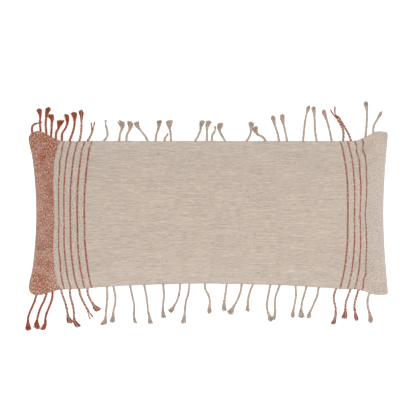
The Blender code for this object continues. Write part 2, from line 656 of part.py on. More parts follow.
def add_cord(name, route, sign, collection, colour):
    """Make one fringe cord as a tube that widens into its tuft."""
    fine = cord_route(route, sign)
    run = lengths_along(fine)
    points = []
    for step in range(FRINGE_POINTS):
        wanted = run[-1] * step / (FRINGE_POINTS - 1)
        index = min(range(len(run)), key=lambda i: abs(run[i] - wanted))
        points.append((fine[index], run[-1] - run[index]))
    curve = bpy.data.curves.new(name, "CURVE")
    curve.dimensions = "3D"
    curve.bevel_depth = FRINGE_RADIUS
    curve.bevel_resolution = 2
    curve.use_fill_caps = True
    spline = curve.splines.new("POLY")
    spline.points.add(len(points) - 1)
    for target, (place, remaining) in zip(spline.points, points):
        target.co = (*place, 1.0)
        target.radius = 1.0 + (TUFT_RADIUS / FRINGE_RADIUS - 1.0) * tuft_share(remaining)
    curve.materials.append(make_material(name, colour))
    cord = bpy.data.objects.new(name, curve)
    collection.objects.link(cord)


def build_fringe(collection):
    """Make every cord of both long edges."""
    for edge, sign, routes in (("upper", 1.0, UPPER_FRINGE), ("lower", -1.0, LOWER_FRINGE)):
        for number, yarn, route in routes:
            add_cord(f"fringe_{edge}_{number}", route, sign, collection, COLOURS[yarn])


def main():
    """Build the pillow from its cover inwards."""
    clear_scene()
    collection = make_collection(PARTS)
    cutters = make_collection(CUTTERS)
    build_cover(collection)
    build_insert(collection)
    build_zip_chain(collection)
    build_slider(collection, cutters)
    build_pull(collection, cutters)
    build_fringe(collection)
    bpy.context.view_layer.update()


main()
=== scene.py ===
"""Looks of a stuffed lumbar pillow: slub-woven cover, twisted fringe cords, zip and insert.

X runs along the pillow, Y across it and Z up. Sizes are in metres, and the cover rests on the floor at z = 0.
"""

import logging
import math
import random
from dataclasses import dataclass, field
from enum import Enum
from typing import Callable, Iterable, Sequence, Union

import bmesh
import bpy
import numpy as np
from mathutils import Matrix, Vector


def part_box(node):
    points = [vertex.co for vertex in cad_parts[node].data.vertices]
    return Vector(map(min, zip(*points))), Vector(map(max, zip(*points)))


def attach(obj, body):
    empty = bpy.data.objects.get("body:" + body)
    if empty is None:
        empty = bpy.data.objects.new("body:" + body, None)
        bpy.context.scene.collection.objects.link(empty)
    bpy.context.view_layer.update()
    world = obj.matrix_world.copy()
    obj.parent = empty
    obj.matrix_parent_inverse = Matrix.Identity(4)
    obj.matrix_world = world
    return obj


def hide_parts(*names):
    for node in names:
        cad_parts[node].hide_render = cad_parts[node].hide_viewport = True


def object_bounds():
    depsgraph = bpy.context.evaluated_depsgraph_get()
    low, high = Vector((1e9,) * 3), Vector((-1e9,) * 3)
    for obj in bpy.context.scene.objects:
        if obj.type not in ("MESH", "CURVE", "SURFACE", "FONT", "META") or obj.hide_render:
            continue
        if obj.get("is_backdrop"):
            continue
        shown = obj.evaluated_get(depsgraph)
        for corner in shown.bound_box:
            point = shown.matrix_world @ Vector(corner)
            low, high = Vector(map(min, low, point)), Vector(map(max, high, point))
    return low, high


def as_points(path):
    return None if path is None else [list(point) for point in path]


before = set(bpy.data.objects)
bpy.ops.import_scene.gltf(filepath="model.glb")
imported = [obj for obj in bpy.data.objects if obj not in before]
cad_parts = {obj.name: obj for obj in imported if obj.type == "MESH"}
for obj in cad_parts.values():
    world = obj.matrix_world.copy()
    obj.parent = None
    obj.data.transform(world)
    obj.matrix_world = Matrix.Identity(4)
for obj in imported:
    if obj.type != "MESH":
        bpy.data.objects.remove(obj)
CAD_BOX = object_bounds()

LOG = logging.getLogger("throw_pillow")
BODY = "cover"
FLAT_MAP = "Flat"
GAP = 0.0003  # between pieces that touch
WELD = 0.00001  # points of a strand that lie closer than this are one
SEAM_WELD = 0.00005  # and those of two faces that meet at a seam

Socket = bpy.types.NodeSocket
Material = bpy.types.Material
Mesh = bpy.types.Mesh
Piece = bpy.types.Object
Number = Union[float, "Value"]
Route = Sequence[tuple[float, float]]


def linear(red: float, green: float, blue: float) -> tuple[float, float, float, float]:
    """Turn a display colour, each part from 0 to 255, into a linear one.

    Args:
        red: Display red.
        green: Display green.
        blue: Display blue.

    Returns:
        The linear colour with full alpha.
    """
    parts = [part / 255.0 for part in (red, green, blue)]
    curve = [p / 12.92 if p <= 0.04045 else ((p + 0.055) / 1.055) ** 2.4 for p in parts]
    return (curve[0], curve[1], curve[2], 1.0)


def unit(value: float) -> float:
    """Hold a number between 0 and 1."""
    return min(1.0, max(0.0, value))


def even_shares(count: int) -> list[float]:
    """Return evenly spaced shares from -1 to 1, with count steps between them."""
    return [2.0 * step / count - 1.0 for step in range(count + 1)]


# ---------------------------------------------------------------- shader building
class Value:
    """A shader socket with one number, on which Python arithmetic adds Math nodes."""

    def __init__(self, shader: "Shader", socket: Socket) -> None:
        """Keep the socket and the shader that it belongs to."""
        self.shader = shader
        self.socket = socket

    def math(self, operation: str, *others: Number, clamp: bool = False) -> "Value":
        """Add a Math node whose first input is this value.

        Args:
            operation: The Math node's operation.
            others: Its further inputs.
            clamp: Whether the result is held between 0 and 1.

        Returns:
            The node's result.
        """
        return self.shader.math(operation, self, *others, clamp=clamp)

    def __add__(self, other: Number) -> "Value":
        """Return the sum."""
        return self.math("ADD", other)

    __radd__ = __add__

    def __sub__(self, other: Number) -> "Value":
        """Return the difference."""
        return self.math("SUBTRACT", other)

    def __rsub__(self, other: Number) -> "Value":
        """Return the reflected difference."""
        return self.shader.math("SUBTRACT", other, self)

    def __mul__(self, other: Number) -> "Value":
        """Return the product."""
        return self.math("MULTIPLY", other)

    __rmul__ = __mul__

    def __truediv__(self, other: Number) -> "Value":
        """Return the quotient."""
        return self.math("DIVIDE", other)

    def __abs__(self) -> "Value":
        """Return the size without its sign."""
        return self.math("ABSOLUTE")

    def clamped(self) -> "Value":
        """Hold the value between 0 and 1."""
        return self.math("MULTIPLY", 1.0, clamp=True)

    def smooth_step(self, low: float, high: float) -> "Value":
        """Rise smoothly from 0 at low to 1 at high.

        Args:
            low: Where the step starts.
            high: Where the step ends; it may be below low for a fall.

        Returns:
            The step's height.
        """
        node = self.shader.node(
            "ShaderNodeMapRange",
            {"interpolation_type": "SMOOTHSTEP"},
            {"Value": self, "From Min": low, "From Max": high, "To Min": 0.0, "To Max": 1.0},
        )
        return Value(self.shader, node.outputs["Result"])


class Shader:
    """The node tree of one material, built on its Principled BSDF."""

    def __init__(self, name: str, **uniform: object) -> None:
        """Start a material.

        Args:
            name: The material's name.
            uniform: Values set straight on the Principled BSDF, with _ for spaces.
        """
        self.material = bpy.data.materials.new(name)
        self.material.use_nodes = True
        self.tree = self.material.node_tree
        self.surface = self.tree.nodes["Principled BSDF"]
        for key, value in uniform.items():
            self.surface.inputs[key.replace("_", " ")].default_value = value

    def node(self, kind: str, settings: dict, inputs: dict) -> bpy.types.Node:
        """Add a node.

        Args:
            kind: The node's type.
            settings: Its own properties, set first.
            inputs: Values, Values or sockets for its inputs, by name or number.

        Returns:
            The node.
        """
        node = self.tree.nodes.new(kind)
        for key, value in settings.items():
            setattr(node, key, value)
        for key, value in inputs.items():
            target = node.inputs[key]
            source = value.socket if isinstance(value, Value) else value
            if isinstance(source, Socket):
                self.tree.links.new(source, target)
            else:
                target.default_value = source
        return node

    def math(self, operation: str, *values: Number, clamp: bool = False) -> Value:
        """Add a Math node and return its result."""
        settings = {"operation": operation, "use_clamp": clamp}
        node = self.node("ShaderNodeMath", settings, dict(enumerate(values)))
        return Value(self, node.outputs[0])

    def vector(self, x: Number, y: Number, z: Number = 0.0) -> Socket:
        """Join three numbers into a vector."""
        node = self.node("ShaderNodeCombineXYZ", {}, {"X": x, "Y": y, "Z": z})
        return node.outputs[0]

    def flat_place(self) -> tuple[Value, Value]:
        """Return the place on the flat cloth, in metres, from the piece's own map."""
        place = self.node("ShaderNodeUVMap", {"uv_map": FLAT_MAP}, {}).outputs["UV"]
        split = self.node("ShaderNodeSeparateXYZ", {}, {"Vector": place})
        return Value(self, split.outputs["X"]), Value(self, split.outputs["Y"])

    def object_place(self) -> Socket:
        """Return the place in the object's own coordinates."""
        return self.node("ShaderNodeTexCoord", {}, {}).outputs["Object"]

    def noise(self, place: Socket, scale: float, detail: float = 2.0, roughness: float = 0.5) -> Value:
        """Return smooth noise around 0.

        Args:
            place: Where it is read.
            scale: Features to the metre of place.
            detail: Finer layers.
            roughness: Strength of the finer layers.

        Returns:
            Noise from about -0.5 to 0.5.
        """
        inputs = {"Vector": place, "Scale": scale, "Detail": detail, "Roughness": roughness}
        node = self.node("ShaderNodeTexNoise", {}, inputs)
        return Value(self, node.outputs["Fac"]) - 0.5

    def streaks(
        self,
        place: tuple[Value, Value],
        features: tuple[float, float],
        seed: float = 0.0,
        detail: float = 2.0,
        roughness: float = 0.5,
    ) -> Value:
        """Return noise stretched along or across the cloth.

        Args:
            place: Place along and across the flat cloth.
            features: Features to the metre along and across it.
            seed: Tells one pattern from another.
            detail: Finer layers.
            roughness: Strength of the finer layers.

        Returns:
            Noise from about -0.5 to 0.5.
        """
        along, across = place[0] * features[0], place[1] * features[1]
        return self.noise(self.vector(along, across, seed), 1.0, detail, roughness)

    def mix(self, share: Number, first: object, second: object) -> Socket:
        """Mix two colours.

        Args:
            share: Share of the second colour.
            first: Colour or socket.
            second: Colour or socket.

        Returns:
            The mixed colour.
        """
        settings = {"data_type": "RGBA", "clamp_factor": True}
        node = self.node("ShaderNodeMix", settings, {0: share, 6: first, 7: second})
        return node.outputs[2]

    def shade(self, colour: Socket, level: Value) -> Socket:
        """Scale a colour by a level around 1."""
        node = self.node("ShaderNodeVectorMath", {"operation": "SCALE"}, {0: colour, "Scale": level})
        return node.outputs[0]

    def finish(
        self, colour: Socket, roughness: Value, height: Value, depth: float, strength: float = 1.0
    ) -> Material:
        """Link what changes over the surface.

        Args:
            colour: The base colour.
            roughness: The roughness.
            height: Height of the surface from 0 to 1, raised through a Bump node.
            depth: Size of a height of 1, in metres.
            strength: The bump's strength.

        Returns:
            The finished material.
        """
        inputs = {"Height": height, "Distance": depth, "Strength": strength}
        bump = self.node("ShaderNodeBump", {}, inputs)
        links = {"Base Color": colour, "Roughness": roughness.socket, "Normal": bump.outputs["Normal"]}
        for name, source in links.items():
            self.tree.links.new(source, self.surface.inputs[name])
        return self.material


# ---------------------------------------------------------------- finishes
@dataclass(frozen=True)
class WovenCloth:
    """Hand-woven slub cloth: cream weft over cream warp, with a rust end block and rust warp stripes."""

    name: str
    half_length: float
    half_width: float
    striped: bool = True
    block_width: float = 0.0765
    block_edge: float = 0.0006
    block_swing: float = 0.009  # how far the block's edge swings out at the long seams
    left_stripes: tuple[float, int, float] = (0.0935, 5, 0.0174)  # place of the first, how many, and pitch
    right_stripes: tuple[float, int, float] = (0.0698, 4, 0.0188)
    stripe_half: float = 0.0026
    thread_pitch: float = 0.0011

    def stripes(self, distance: Value, row: tuple[float, int, float]) -> Value:
        """Return the mask of evenly spaced warp stripes.

        Args:
            distance: Distance from the end seam.
            row: Where the first stripe lies, how many there are, and their pitch.

        Returns:
            1 on a stripe and 0 elsewhere.
        """
        first, count, pitch = row
        steps = (distance - (first - pitch / 2)) / pitch
        off = abs(steps.math("FRACT") - 0.5) * pitch
        line = off.smooth_step(self.stripe_half * 1.15, self.stripe_half * 0.55)
        inside = steps.math("GREATER_THAN", 0.0) * steps.math("LESS_THAN", float(count))
        return line * inside

    def build(self) -> Material:
        """Return the cloth's material."""
        fuzz = {"Sheen_Weight": 0.25, "Sheen_Roughness": 0.6, "Specular_IOR_Level": 0.18}
        shader = Shader(self.name, Roughness=0.92, **fuzz)
        flat = u, v = shader.flat_place()
        drift = shader.streaks(flat, (4.0, 14.0)) * 0.0030
        warp = u + drift
        slub = shader.streaks(flat, (12.0, 400.0), 0.0, 2.0, 0.6)
        slub_fine = shader.streaks(flat, (62.0, 460.0), 3.0)
        band = shader.streaks(flat, (0.7, 34.0), 7.0)
        warp_line = shader.streaks(flat, (420.0, 40.0), 5.0)
        patch = shader.noise(shader.vector(u, v, 2.0), 11.0, 2.0)
        grain = shader.noise(shader.vector(u, v * 1.1, 9.0), 280.0, 1.0, 0.5)
        middle = u.smooth_step(-0.300, -0.286) * u.smooth_step(0.345, 0.325)
        left = u.smooth_step(-0.286, -0.300)
        streak = slub * (0.16 + 0.60 * middle) + slub_fine * (0.20 + 0.42 * middle)
        level = 1.0 + streak + band * 0.12 + warp_line * (0.40 - 0.26 * middle) + patch * 0.04
        level = level + grain * (1.15 - 0.80 * middle + 0.25 * left)
        tint = (slub_fine * 1.6 + patch * 0.9 + 0.45).clamped()
        colour = shader.mix(tint, linear(198, 184, 171), linear(210, 191, 175))
        fleck = shader.streaks(flat, (60.0, 190.0), 11.0, 1.0).smooth_step(0.225, 0.28)
        fleck_faint = shader.streaks(flat, (24.0, 320.0), 4.0, 1.0).smooth_step(0.13, 0.25)
        colour = shader.shade(colour, level)
        colour = shader.mix(fleck_faint * 0.24, colour, linear(150, 136, 126))
        colour = shader.mix(fleck * 0.55, colour, linear(112, 98, 88))
        height = 0.5 + grain * 0.8 + slub * 0.7 + warp_line * 0.3
        if self.striped:
            colour = self.dye(shader, colour, flat, warp, grain, slub_fine, level)
        weave = self.weave(u, v)
        return shader.finish(colour, 0.90 - streak * 0.2, height + weave * 0.35, 0.0011, 0.75)

    def weave(self, u: Value, v: Value) -> Value:
        """Return the height of a plain weave of fine threads."""
        turn = 2.0 * math.pi / self.thread_pitch
        over = (u * turn).math("SINE")
        across = (v * turn * 0.9).math("SINE")
        return (over * 0.5 + across * 0.5) * 0.5

    def dye(
        self,
        shader: Shader,
        colour: Socket,
        flat: tuple[Value, Value],
        warp: Value,
        grain: Value,
        slub_fine: Value,
        level: Value,
    ) -> Socket:
        """Lay the rust warp over the cream cloth.

        Args:
            shader: The cloth's shader.
            colour: The undyed cloth.
            flat: Place along and across the flat cloth.
            warp: Place along the cloth with the warp's wander.
            grain: Fine even noise.
            slub_fine: Fine weft streaks.
            level: The undyed cloth's lightness.

        Returns:
            The dyed cloth's colour.
        """
        from_left = warp + self.half_length
        from_right = self.half_length - warp
        lines = self.stripes(from_left, self.left_stripes) + self.stripes(from_right, self.right_stripes)
        beads = shader.streaks(flat, (70.0, 230.0), 13.0)
        beads = (beads * 3.2 + 0.92).clamped()
        stripe = shader.mix(grain * 2.0 + 0.5, linear(142, 62, 38), linear(168, 90, 66))
        colour = shader.mix(lines * beads, colour, stripe)
        speck = shader.streaks(flat, (200.0, 460.0), 17.0) + shader.streaks(flat, (460.0, 200.0), 31.0)
        u, v = flat
        cloud = shader.noise(shader.vector(u * 1.0, v * 2.0, 5.0), 22.0, 2.0)
        # Towards the upper seam the block gets less of its light speckle and turns darker: painted shade, for
        # light that falls from the lower side.
        share = speck * 4.8 + slub_fine * 0.5 + cloud * 1.4 + 0.30 - v * 0.55
        share = share.clamped()
        block = shader.mix(share, linear(154, 74, 44), linear(213, 176, 152))
        block = shader.shade(block, 0.5 + level * 0.5)
        swing = (abs(v) / self.half_width).math("POWER", 7.0) * self.block_swing
        outer, inner = self.block_width + self.block_edge, self.block_width - self.block_edge
        inside = (from_left - swing).smooth_step(outer, inner)
        return shader.mix(inside, colour, block)


@dataclass(frozen=True)
class Yarn:
    """Spun yarn of the fringe, a little fuzzy and uneven in its dye."""

    name: str
    dark: tuple[float, float, float]
    light: tuple[float, float, float]

    def build(self) -> Material:
        """Return the yarn's material."""
        fuzz = {"Sheen_Weight": 0.3, "Sheen_Roughness": 0.5, "Specular_IOR_Level": 0.2}
        shader = Shader(self.name, Roughness=0.9, **fuzz)
        place = shader.object_place()
        broad = shader.noise(place, 90.0, 2.0)
        fibre = shader.noise(place, 1500.0, 2.0, 0.7)
        share = (broad * 1.6 + fibre * 1.2 + 0.5).clamped()
        colour = shader.mix(share, linear(*self.dark), linear(*self.light))
        return shader.finish(colour, 0.88 + fibre * 0.2, 0.5 + fibre, 0.0004, 0.8)


@dataclass(frozen=True)
class PlainFabric:
    """Plain thin fabric or fibre with a fine even weave."""

    name: str
    colour: tuple[float, float, float]
    spread: float
    scale: float
    depth: float

    def build(self) -> Material:
        """Return the fabric's material."""
        shader = Shader(self.name, Roughness=0.9, Sheen_Weight=0.15)
        place = shader.object_place()
        fine = shader.noise(place, self.scale, 3.0, 0.6)
        broad = shader.noise(place, self.scale / 30.0, 2.0)
        base = shader.mix(
            (broad + 0.5).clamped(),
            linear(*self.colour),
            linear(*(part * (1.0 - self.spread) for part in self.colour)),
        )
        colour = shader.shade(base, 1.0 + fine * 2.0 * self.spread)
        return shader.finish(colour, 0.88 + fine * 0.15, 0.5 + fine, self.depth)


@dataclass(frozen=True)
class TapeWeave:
    """Zip tape with its fine herringbone ribs."""

    name: str = "zip_tape_weave"
    rib: float = 0.0009

    def build(self) -> Material:
        """Return the tape's material."""
        shader = Shader(self.name, Roughness=0.82, Sheen_Weight=0.1)
        u, v = shader.flat_place()
        turn = 2.0 * math.pi / self.rib
        slant = abs((v * 420.0).math("FRACT") - 0.5) * 0.002
        ribs = ((u + slant) * turn).math("SINE") * 0.5
        fine = shader.noise(shader.vector(u, v), 1400.0, 2.0)
        base = shader.mix(ribs + 0.5, linear(186, 170, 150), linear(204, 190, 172))
        colour = shader.shade(base, 1.0 + fine * 0.2)
        return shader.finish(colour, 0.82 + fine * 0.1, ribs + 0.5, 0.0002)


@dataclass(frozen=True)
class Nylon:
    """Satin nylon of the zip's coils."""

    name: str = "coil_nylon"

    def build(self) -> Material:
        """Return the nylon's material."""
        shader = Shader(self.name, Roughness=0.45)
        fine = shader.noise(shader.object_place(), 700.0, 2.0)
        colour = shader.mix(fine + 0.5, linear(190, 176, 158), linear(206, 193, 176))
        return shader.finish(colour, 0.42 + fine * 0.2, 0.5 + fine, 0.00005)


@dataclass(frozen=True)
class Brass:
    """Satin antique brass of the zip's slider, rubbed bright in places."""

    name: str = "zip_brass"

    def build(self) -> Material:
        """Return the brass material."""
        shader = Shader(self.name, Metallic=1.0)
        place = shader.object_place()
        rub = shader.noise(place, 420.0, 3.0, 0.6)
        brushed = shader.noise(place, 2600.0, 1.0)
        share = (rub * 2.2 + 0.5).clamped()
        colour = shader.mix(share, linear(150, 122, 78), linear(196, 168, 116))
        roughness = 0.36 + rub * 0.25 + brushed * 0.08
        return shader.finish(colour, roughness, 0.5 + brushed * 0.5 + rub * 0.5, 0.00004)


class Finishes:
    """Every finish of the pillow, built once."""

    def __init__(self, half_length: float, half_width: float) -> None:
        """Build the materials.

        Args:
            half_length: Half of the flat cover's length.
            half_width: Half of the flat cover's width.
        """
        self.front = WovenCloth("slub_weave", half_length, half_width).build()
        self.back = WovenCloth("plain_slub_weave", half_length, half_width, striped=False).build()
        self.rust = Yarn("rust_yarn", (122, 44, 20), (188, 96, 58)).build()
        self.cream = Yarn("cream_yarn", (162, 143, 129), (210, 192, 178)).build()
        self.casing = PlainFabric("cotton_casing", (236, 233, 226), 0.04, 1300.0, 0.0002).build()
        self.filling = PlainFabric("fibre_filling", (240, 240, 238), 0.08, 160.0, 0.002).build()
        self.thread = PlainFabric("tack_thread", (196, 180, 160), 0.08, 2400.0, 0.0002).build()
        self.tape = TapeWeave().build()
        self.nylon = Nylon().build()
        self.brass = Brass().build()


# ---------------------------------------------------------------- making pieces
def add_piece(name: str, mesh: Mesh, materials: Iterable[Material]) -> Piece:
    """Link a mesh as a piece of the pillow.

    Args:
        name: The piece's name.
        mesh: Its mesh, already in place.
        materials: Its materials in the order of the mesh's material numbers.

    Returns:
        The piece.
    """
    piece = bpy.data.objects.new(name, mesh)
    for number, material in enumerate(materials):
        if number < len(mesh.materials):
            mesh.materials[number] = material
        else:
            mesh.materials.append(material)
    bpy.context.scene.collection.objects.link(piece)
    for polygon in mesh.polygons:
        polygon.use_smooth = True
    return piece


def dress(piece: Piece, slot: str, *nodes: str) -> None:
    """Put a piece on the cover's body.

    Args:
        piece: The piece.
        slot: A name for its finish; not used.
        nodes: The CAD nodes that it stands for.
    """
    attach(piece, BODY)
    if nodes:
        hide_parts(*nodes)


def thicken(piece: Piece, thickness: float) -> None:
    """Give a piece's single sheet a wall, inwards from its outer face."""
    wall = piece.modifiers.new("wall", "SOLIDIFY")
    wall.thickness = thickness
    wall.offset = -1.0


def finish_mesh(bm: bmesh.types.BMesh, name: str) -> Mesh:
    """Turn a bmesh into a mesh, and free it."""
    mesh = bpy.data.meshes.new(name)
    bm.to_mesh(mesh)
    bm.free()
    return mesh


@dataclass
class Strand:
    """One round strand of a bundle: its points, its radius at each, and its material's number."""

    points: list[Vector]
    radii: list[float]
    material: int = 0
    closed: bool = False


def strand_mesh(name: str, strands: Iterable[Strand], sides: int = 2) -> Mesh:
    """Sweep a round section along each strand.

    Args:
        name: The mesh's name.
        strands: The strands.
        sides: The section's bevel resolution.

    Returns:
        One mesh of closed tubes.
    """
    curve = bpy.data.curves.new(name, "CURVE")
    curve.dimensions = "3D"
    curve.bevel_depth = 1.0
    curve.bevel_resolution = sides
    curve.use_fill_caps = True
    strands = list(strands)
    holder = bpy.data.objects.new(name, curve)
    for _ in range(1 + max(strand.material for strand in strands)):
        curve.materials.append(None)
    for strand in strands:
        spline = curve.splines.new("POLY")
        spline.points.add(len(strand.points) - 1)
        spline.material_index = strand.material
        spline.use_cyclic_u = strand.closed
        for target, place, radius in zip(spline.points, strand.points, strand.radii):
            target.co = (*place, 1.0)
            target.radius = radius
    bpy.context.scene.collection.objects.link(holder)
    bpy.context.view_layer.update()
    graph = bpy.context.evaluated_depsgraph_get()
    mesh = bpy.data.meshes.new_from_object(holder.evaluated_get(graph))
    bpy.data.objects.remove(holder)
    bm = bmesh.new()
    bm.from_mesh(mesh)
    bmesh.ops.remove_doubles(bm, verts=bm.verts, dist=WELD)
    bmesh.ops.recalc_face_normals(bm, faces=bm.faces)
    bm.to_mesh(mesh)
    bm.free()
    return mesh


# ---------------------------------------------------------------- the stuffed shape
@dataclass(frozen=True)
class StuffedShape:
    """Where the stuffed cover's outer faces lie, by shares of its flat length and width.

    A share runs from -1 at the left or lower seam to 1 at the right or upper one.
    """

    half_length: float
    half_width: float
    thickness: float
    flat_half_length: float = 0.457
    flat_half_width: float = 0.203
    upper_half_width: float = 0.1780
    lower_half_width: float = 0.1735
    lower_belly: float = 0.0135
    straight_half_length: float = 0.335
    left_end_pull: float = 0.0220
    right_end_pull: float = 0.0160
    flare_start: float = 0.20
    flare_end: float = 0.80
    seam_height: float = 0.0520
    corner_drop: float = 0.0160
    contact_half_width: float = 0.0880
    contact_share: float = 0.50
    zip_row_share: float = 0.84
    zip_share: float = 0.70
    flank_power: float = 1.9
    flange: float = 0.0060
    cloth: float = 0.0012
    dome_powers: tuple[float, float] = (8.0, 4.5)  # how squarely the dome fills the length and the width
    corner_round: float = 0.016
    right_round_share: float = 0.45  # the right corners are rounded by this share of the left ones
    seam_waver: float = 0.0011
    waver_turns: tuple[float, float] = (29.0, 61.0)  # its two waves along the seam, in radians a metre
    waver_power: float = 6.0  # how closely the waver keeps to the long seams
    ear: float = 0.0045  # how far the left corners bulge out
    ear_place: float = 0.176
    ear_width: float = 0.026
    ear_power: float = 14.0  # how closely the bulge keeps to the end

    @property
    def lip(self) -> float:
        """Half the height between the outer faces at the seam."""
        return self.cloth + GAP / 2

    @property
    def zip_y(self) -> float:
        """Distance of the zip from the middle line."""
        side = self.upper_half_width - self.flange
        return self.contact_half_width + self.zip_share * (side - self.contact_half_width)

    @property
    def zip_rise(self) -> float:
        """Height of the zip's line."""
        return (self.seam_height - self.cloth) * self.zip_share**self.flank_power

    @property
    def zip_slope(self) -> float:
        """Slope of the flank at the zip."""
        return self.flank_power * self.zip_rise / (self.zip_y - self.contact_half_width)

    def end_share(self, along: float) -> float:
        """Share of the way from the straight part to the end."""
        return unit((along - self.straight_half_length) / (self.half_length - self.straight_half_length))

    def flare(self, share: float) -> float:
        """How far the sides have swung out to the corners."""
        reach = unit((share - self.flare_start) / (self.flare_end - self.flare_start))
        return reach * reach * (3.0 - 2.0 * reach)

    def side_half_width(self, along: float, share: float, sign: float) -> float:
        """Distance of a long seam's outer edge from the middle line.

        Args:
            along: Distance from the middle, held to the straight part.
            share: Share of the way to the end.
            sign: 1 for the upper seam and -1 for the lower one.

        Returns:
            The distance.
        """
        if sign > 0:
            middle = self.upper_half_width
        else:
            reach = min(1.0, along / self.straight_half_length)
            middle = self.lower_half_width + self.lower_belly * reach**2
        return middle + (self.half_width - middle) * self.flare(share)

    def seam_level(self, share: float, across: float) -> float:
        """Height of the seam."""
        return self.seam_height - self.corner_drop * share**2 * across**4

    def seam_edge(self, x: float, sign: float) -> tuple[float, float]:
        """Return a long seam's distance from the middle line, and its height, at a place along it."""
        share = self.end_share(abs(x))
        along = min(abs(x), self.straight_half_length)
        edge = Vector((x, sign * self.side_half_width(along, share, sign), 0.0))
        return abs(self.round_corner(edge).y), self.seam_level(share, 1.0)

    def column(self, length_share: float) -> tuple[float, float, float]:
        """Return a column's side, its place in the straight part, and its share of the way to the end."""
        side = 1.0 if length_share >= 0 else -1.0
        along = abs(length_share) * self.half_length
        return side, min(along, self.straight_half_length), self.end_share(along)

    def along(self, side: float, along: float, share: float, across: float) -> float:
        """Place along the pillow of a column's point."""
        pull = self.left_end_pull if side < 0 else self.right_end_pull
        end = self.half_length - pull * (1.0 - across * across)
        return side * (along + (end - along) * share)

    def front(self, length_share: float, across: float) -> Vector:
        """Point of the upper outer face before the cloth settles."""
        side, along, share = self.column(length_share)
        sign = 1.0 if across > 0 else -1.0
        y = across * self.side_half_width(along, share, sign)
        length_power, width_power = self.dome_powers
        dome = (1.0 - abs(length_share) ** length_power) * (1.0 - abs(across) ** width_power)
        base = self.seam_level(share, across) + self.lip
        rise = self.thickness - self.seam_height - self.lip
        return Vector((self.along(side, along, share, across), y, base + rise * dome))

    def flank_distance(self, across: float, half_width: float) -> float:
        """Distance from the middle line of a row of the lower face, in the straight part."""
        share, contact = abs(across), self.contact_half_width
        past, row = share - self.contact_share, self.zip_row_share
        if past <= 0:
            return contact * share / self.contact_share
        if across > 0:
            return contact + (half_width - contact) * past / (1.0 - self.contact_share)
        if share <= row:
            return contact + (self.zip_y - contact) * (past / (row - self.contact_share))
        return self.zip_y + (half_width - self.zip_y) * (share - row) / (1.0 - row)

    def flank_level(self, distance: float, half_width: float, sign: float) -> float:
        """Height of the lower outer face in the straight part."""
        contact = self.contact_half_width
        rise = self.seam_height - self.lip
        if distance <= contact:
            return 0.0
        if sign > 0:
            return rise * ((distance - contact) / (half_width - contact)) ** self.flank_power
        if distance <= self.zip_y:
            return self.zip_rise * ((distance - contact) / (self.zip_y - contact)) ** self.flank_power
        beyond, reach = distance - self.zip_y, half_width - self.zip_y
        bend = (rise - self.zip_rise - self.zip_slope * reach) / reach**2
        return self.zip_rise + self.zip_slope * beyond + bend * beyond**2

    def back(self, length_share: float, across: float, slit: float = 0.0) -> Vector:
        """Point of the lower outer face.

        Args:
            length_share: Share along the cover.
            across: Share across the cover.
            slit: How far the point stands back from the zip's line, out towards the seam.

        Returns:
            The point.
        """
        side, along, share = self.column(length_share)
        sign = 1.0 if across > 0 else -1.0
        straight_half = self.side_half_width(along, 0.0, sign)
        slope = math.cos(math.atan(self.zip_slope))
        distance = self.flank_distance(across, straight_half) + slit * slope
        level = self.flank_level(distance, straight_half, sign)
        end_distance = abs(across) * self.side_half_width(along, share, sign) + slit * slope
        y = distance + (end_distance - distance) * self.flare(share)
        edge = self.seam_level(share, across) - self.lip
        depth = self.seam_height - self.lip - level
        z = edge - depth * (1.0 - share**self.flank_power)
        return Vector((self.along(side, along, share, across), sign * y, z))

    def round_corner(self, place: Vector) -> Vector:
        """Draw a corner in to round it, and let the long seams waver a little."""
        near = min(1.0, abs(place.y) / self.half_width) ** self.waver_power
        slow, quick = self.waver_turns
        waver = math.sin(place.x * slow + 0.7) + 0.7 * math.sin(place.x * quick + math.copysign(2.0, place.y))
        place = Vector((place.x, place.y + math.copysign(self.seam_waver * near * waver, place.y), place.z))
        if place.x < 0:
            out = (abs(place.x) / self.half_length) ** self.ear_power
            place.x -= self.ear * out * math.exp(-(((abs(place.y) - self.ear_place) / self.ear_width) ** 2))
        reach = self.corner_round if place.x < 0 else self.corner_round * self.right_round_share
        dx = (abs(place.x) - (self.half_length - reach)) / reach
        dy = (abs(place.y) - (self.half_width - reach)) / reach
        if dx <= 0 or dy <= 0:
            return place
        dx, dy = min(1.0, dx), min(1.0, dy)
        x = self.half_length - reach + reach * dx * math.sqrt(1.0 - dy * dy / 2)
        y = self.half_width - reach + reach * dy * math.sqrt(1.0 - dx * dx / 2)
        return Vector((math.copysign(x, place.x), math.copysign(y, place.y), place.z))


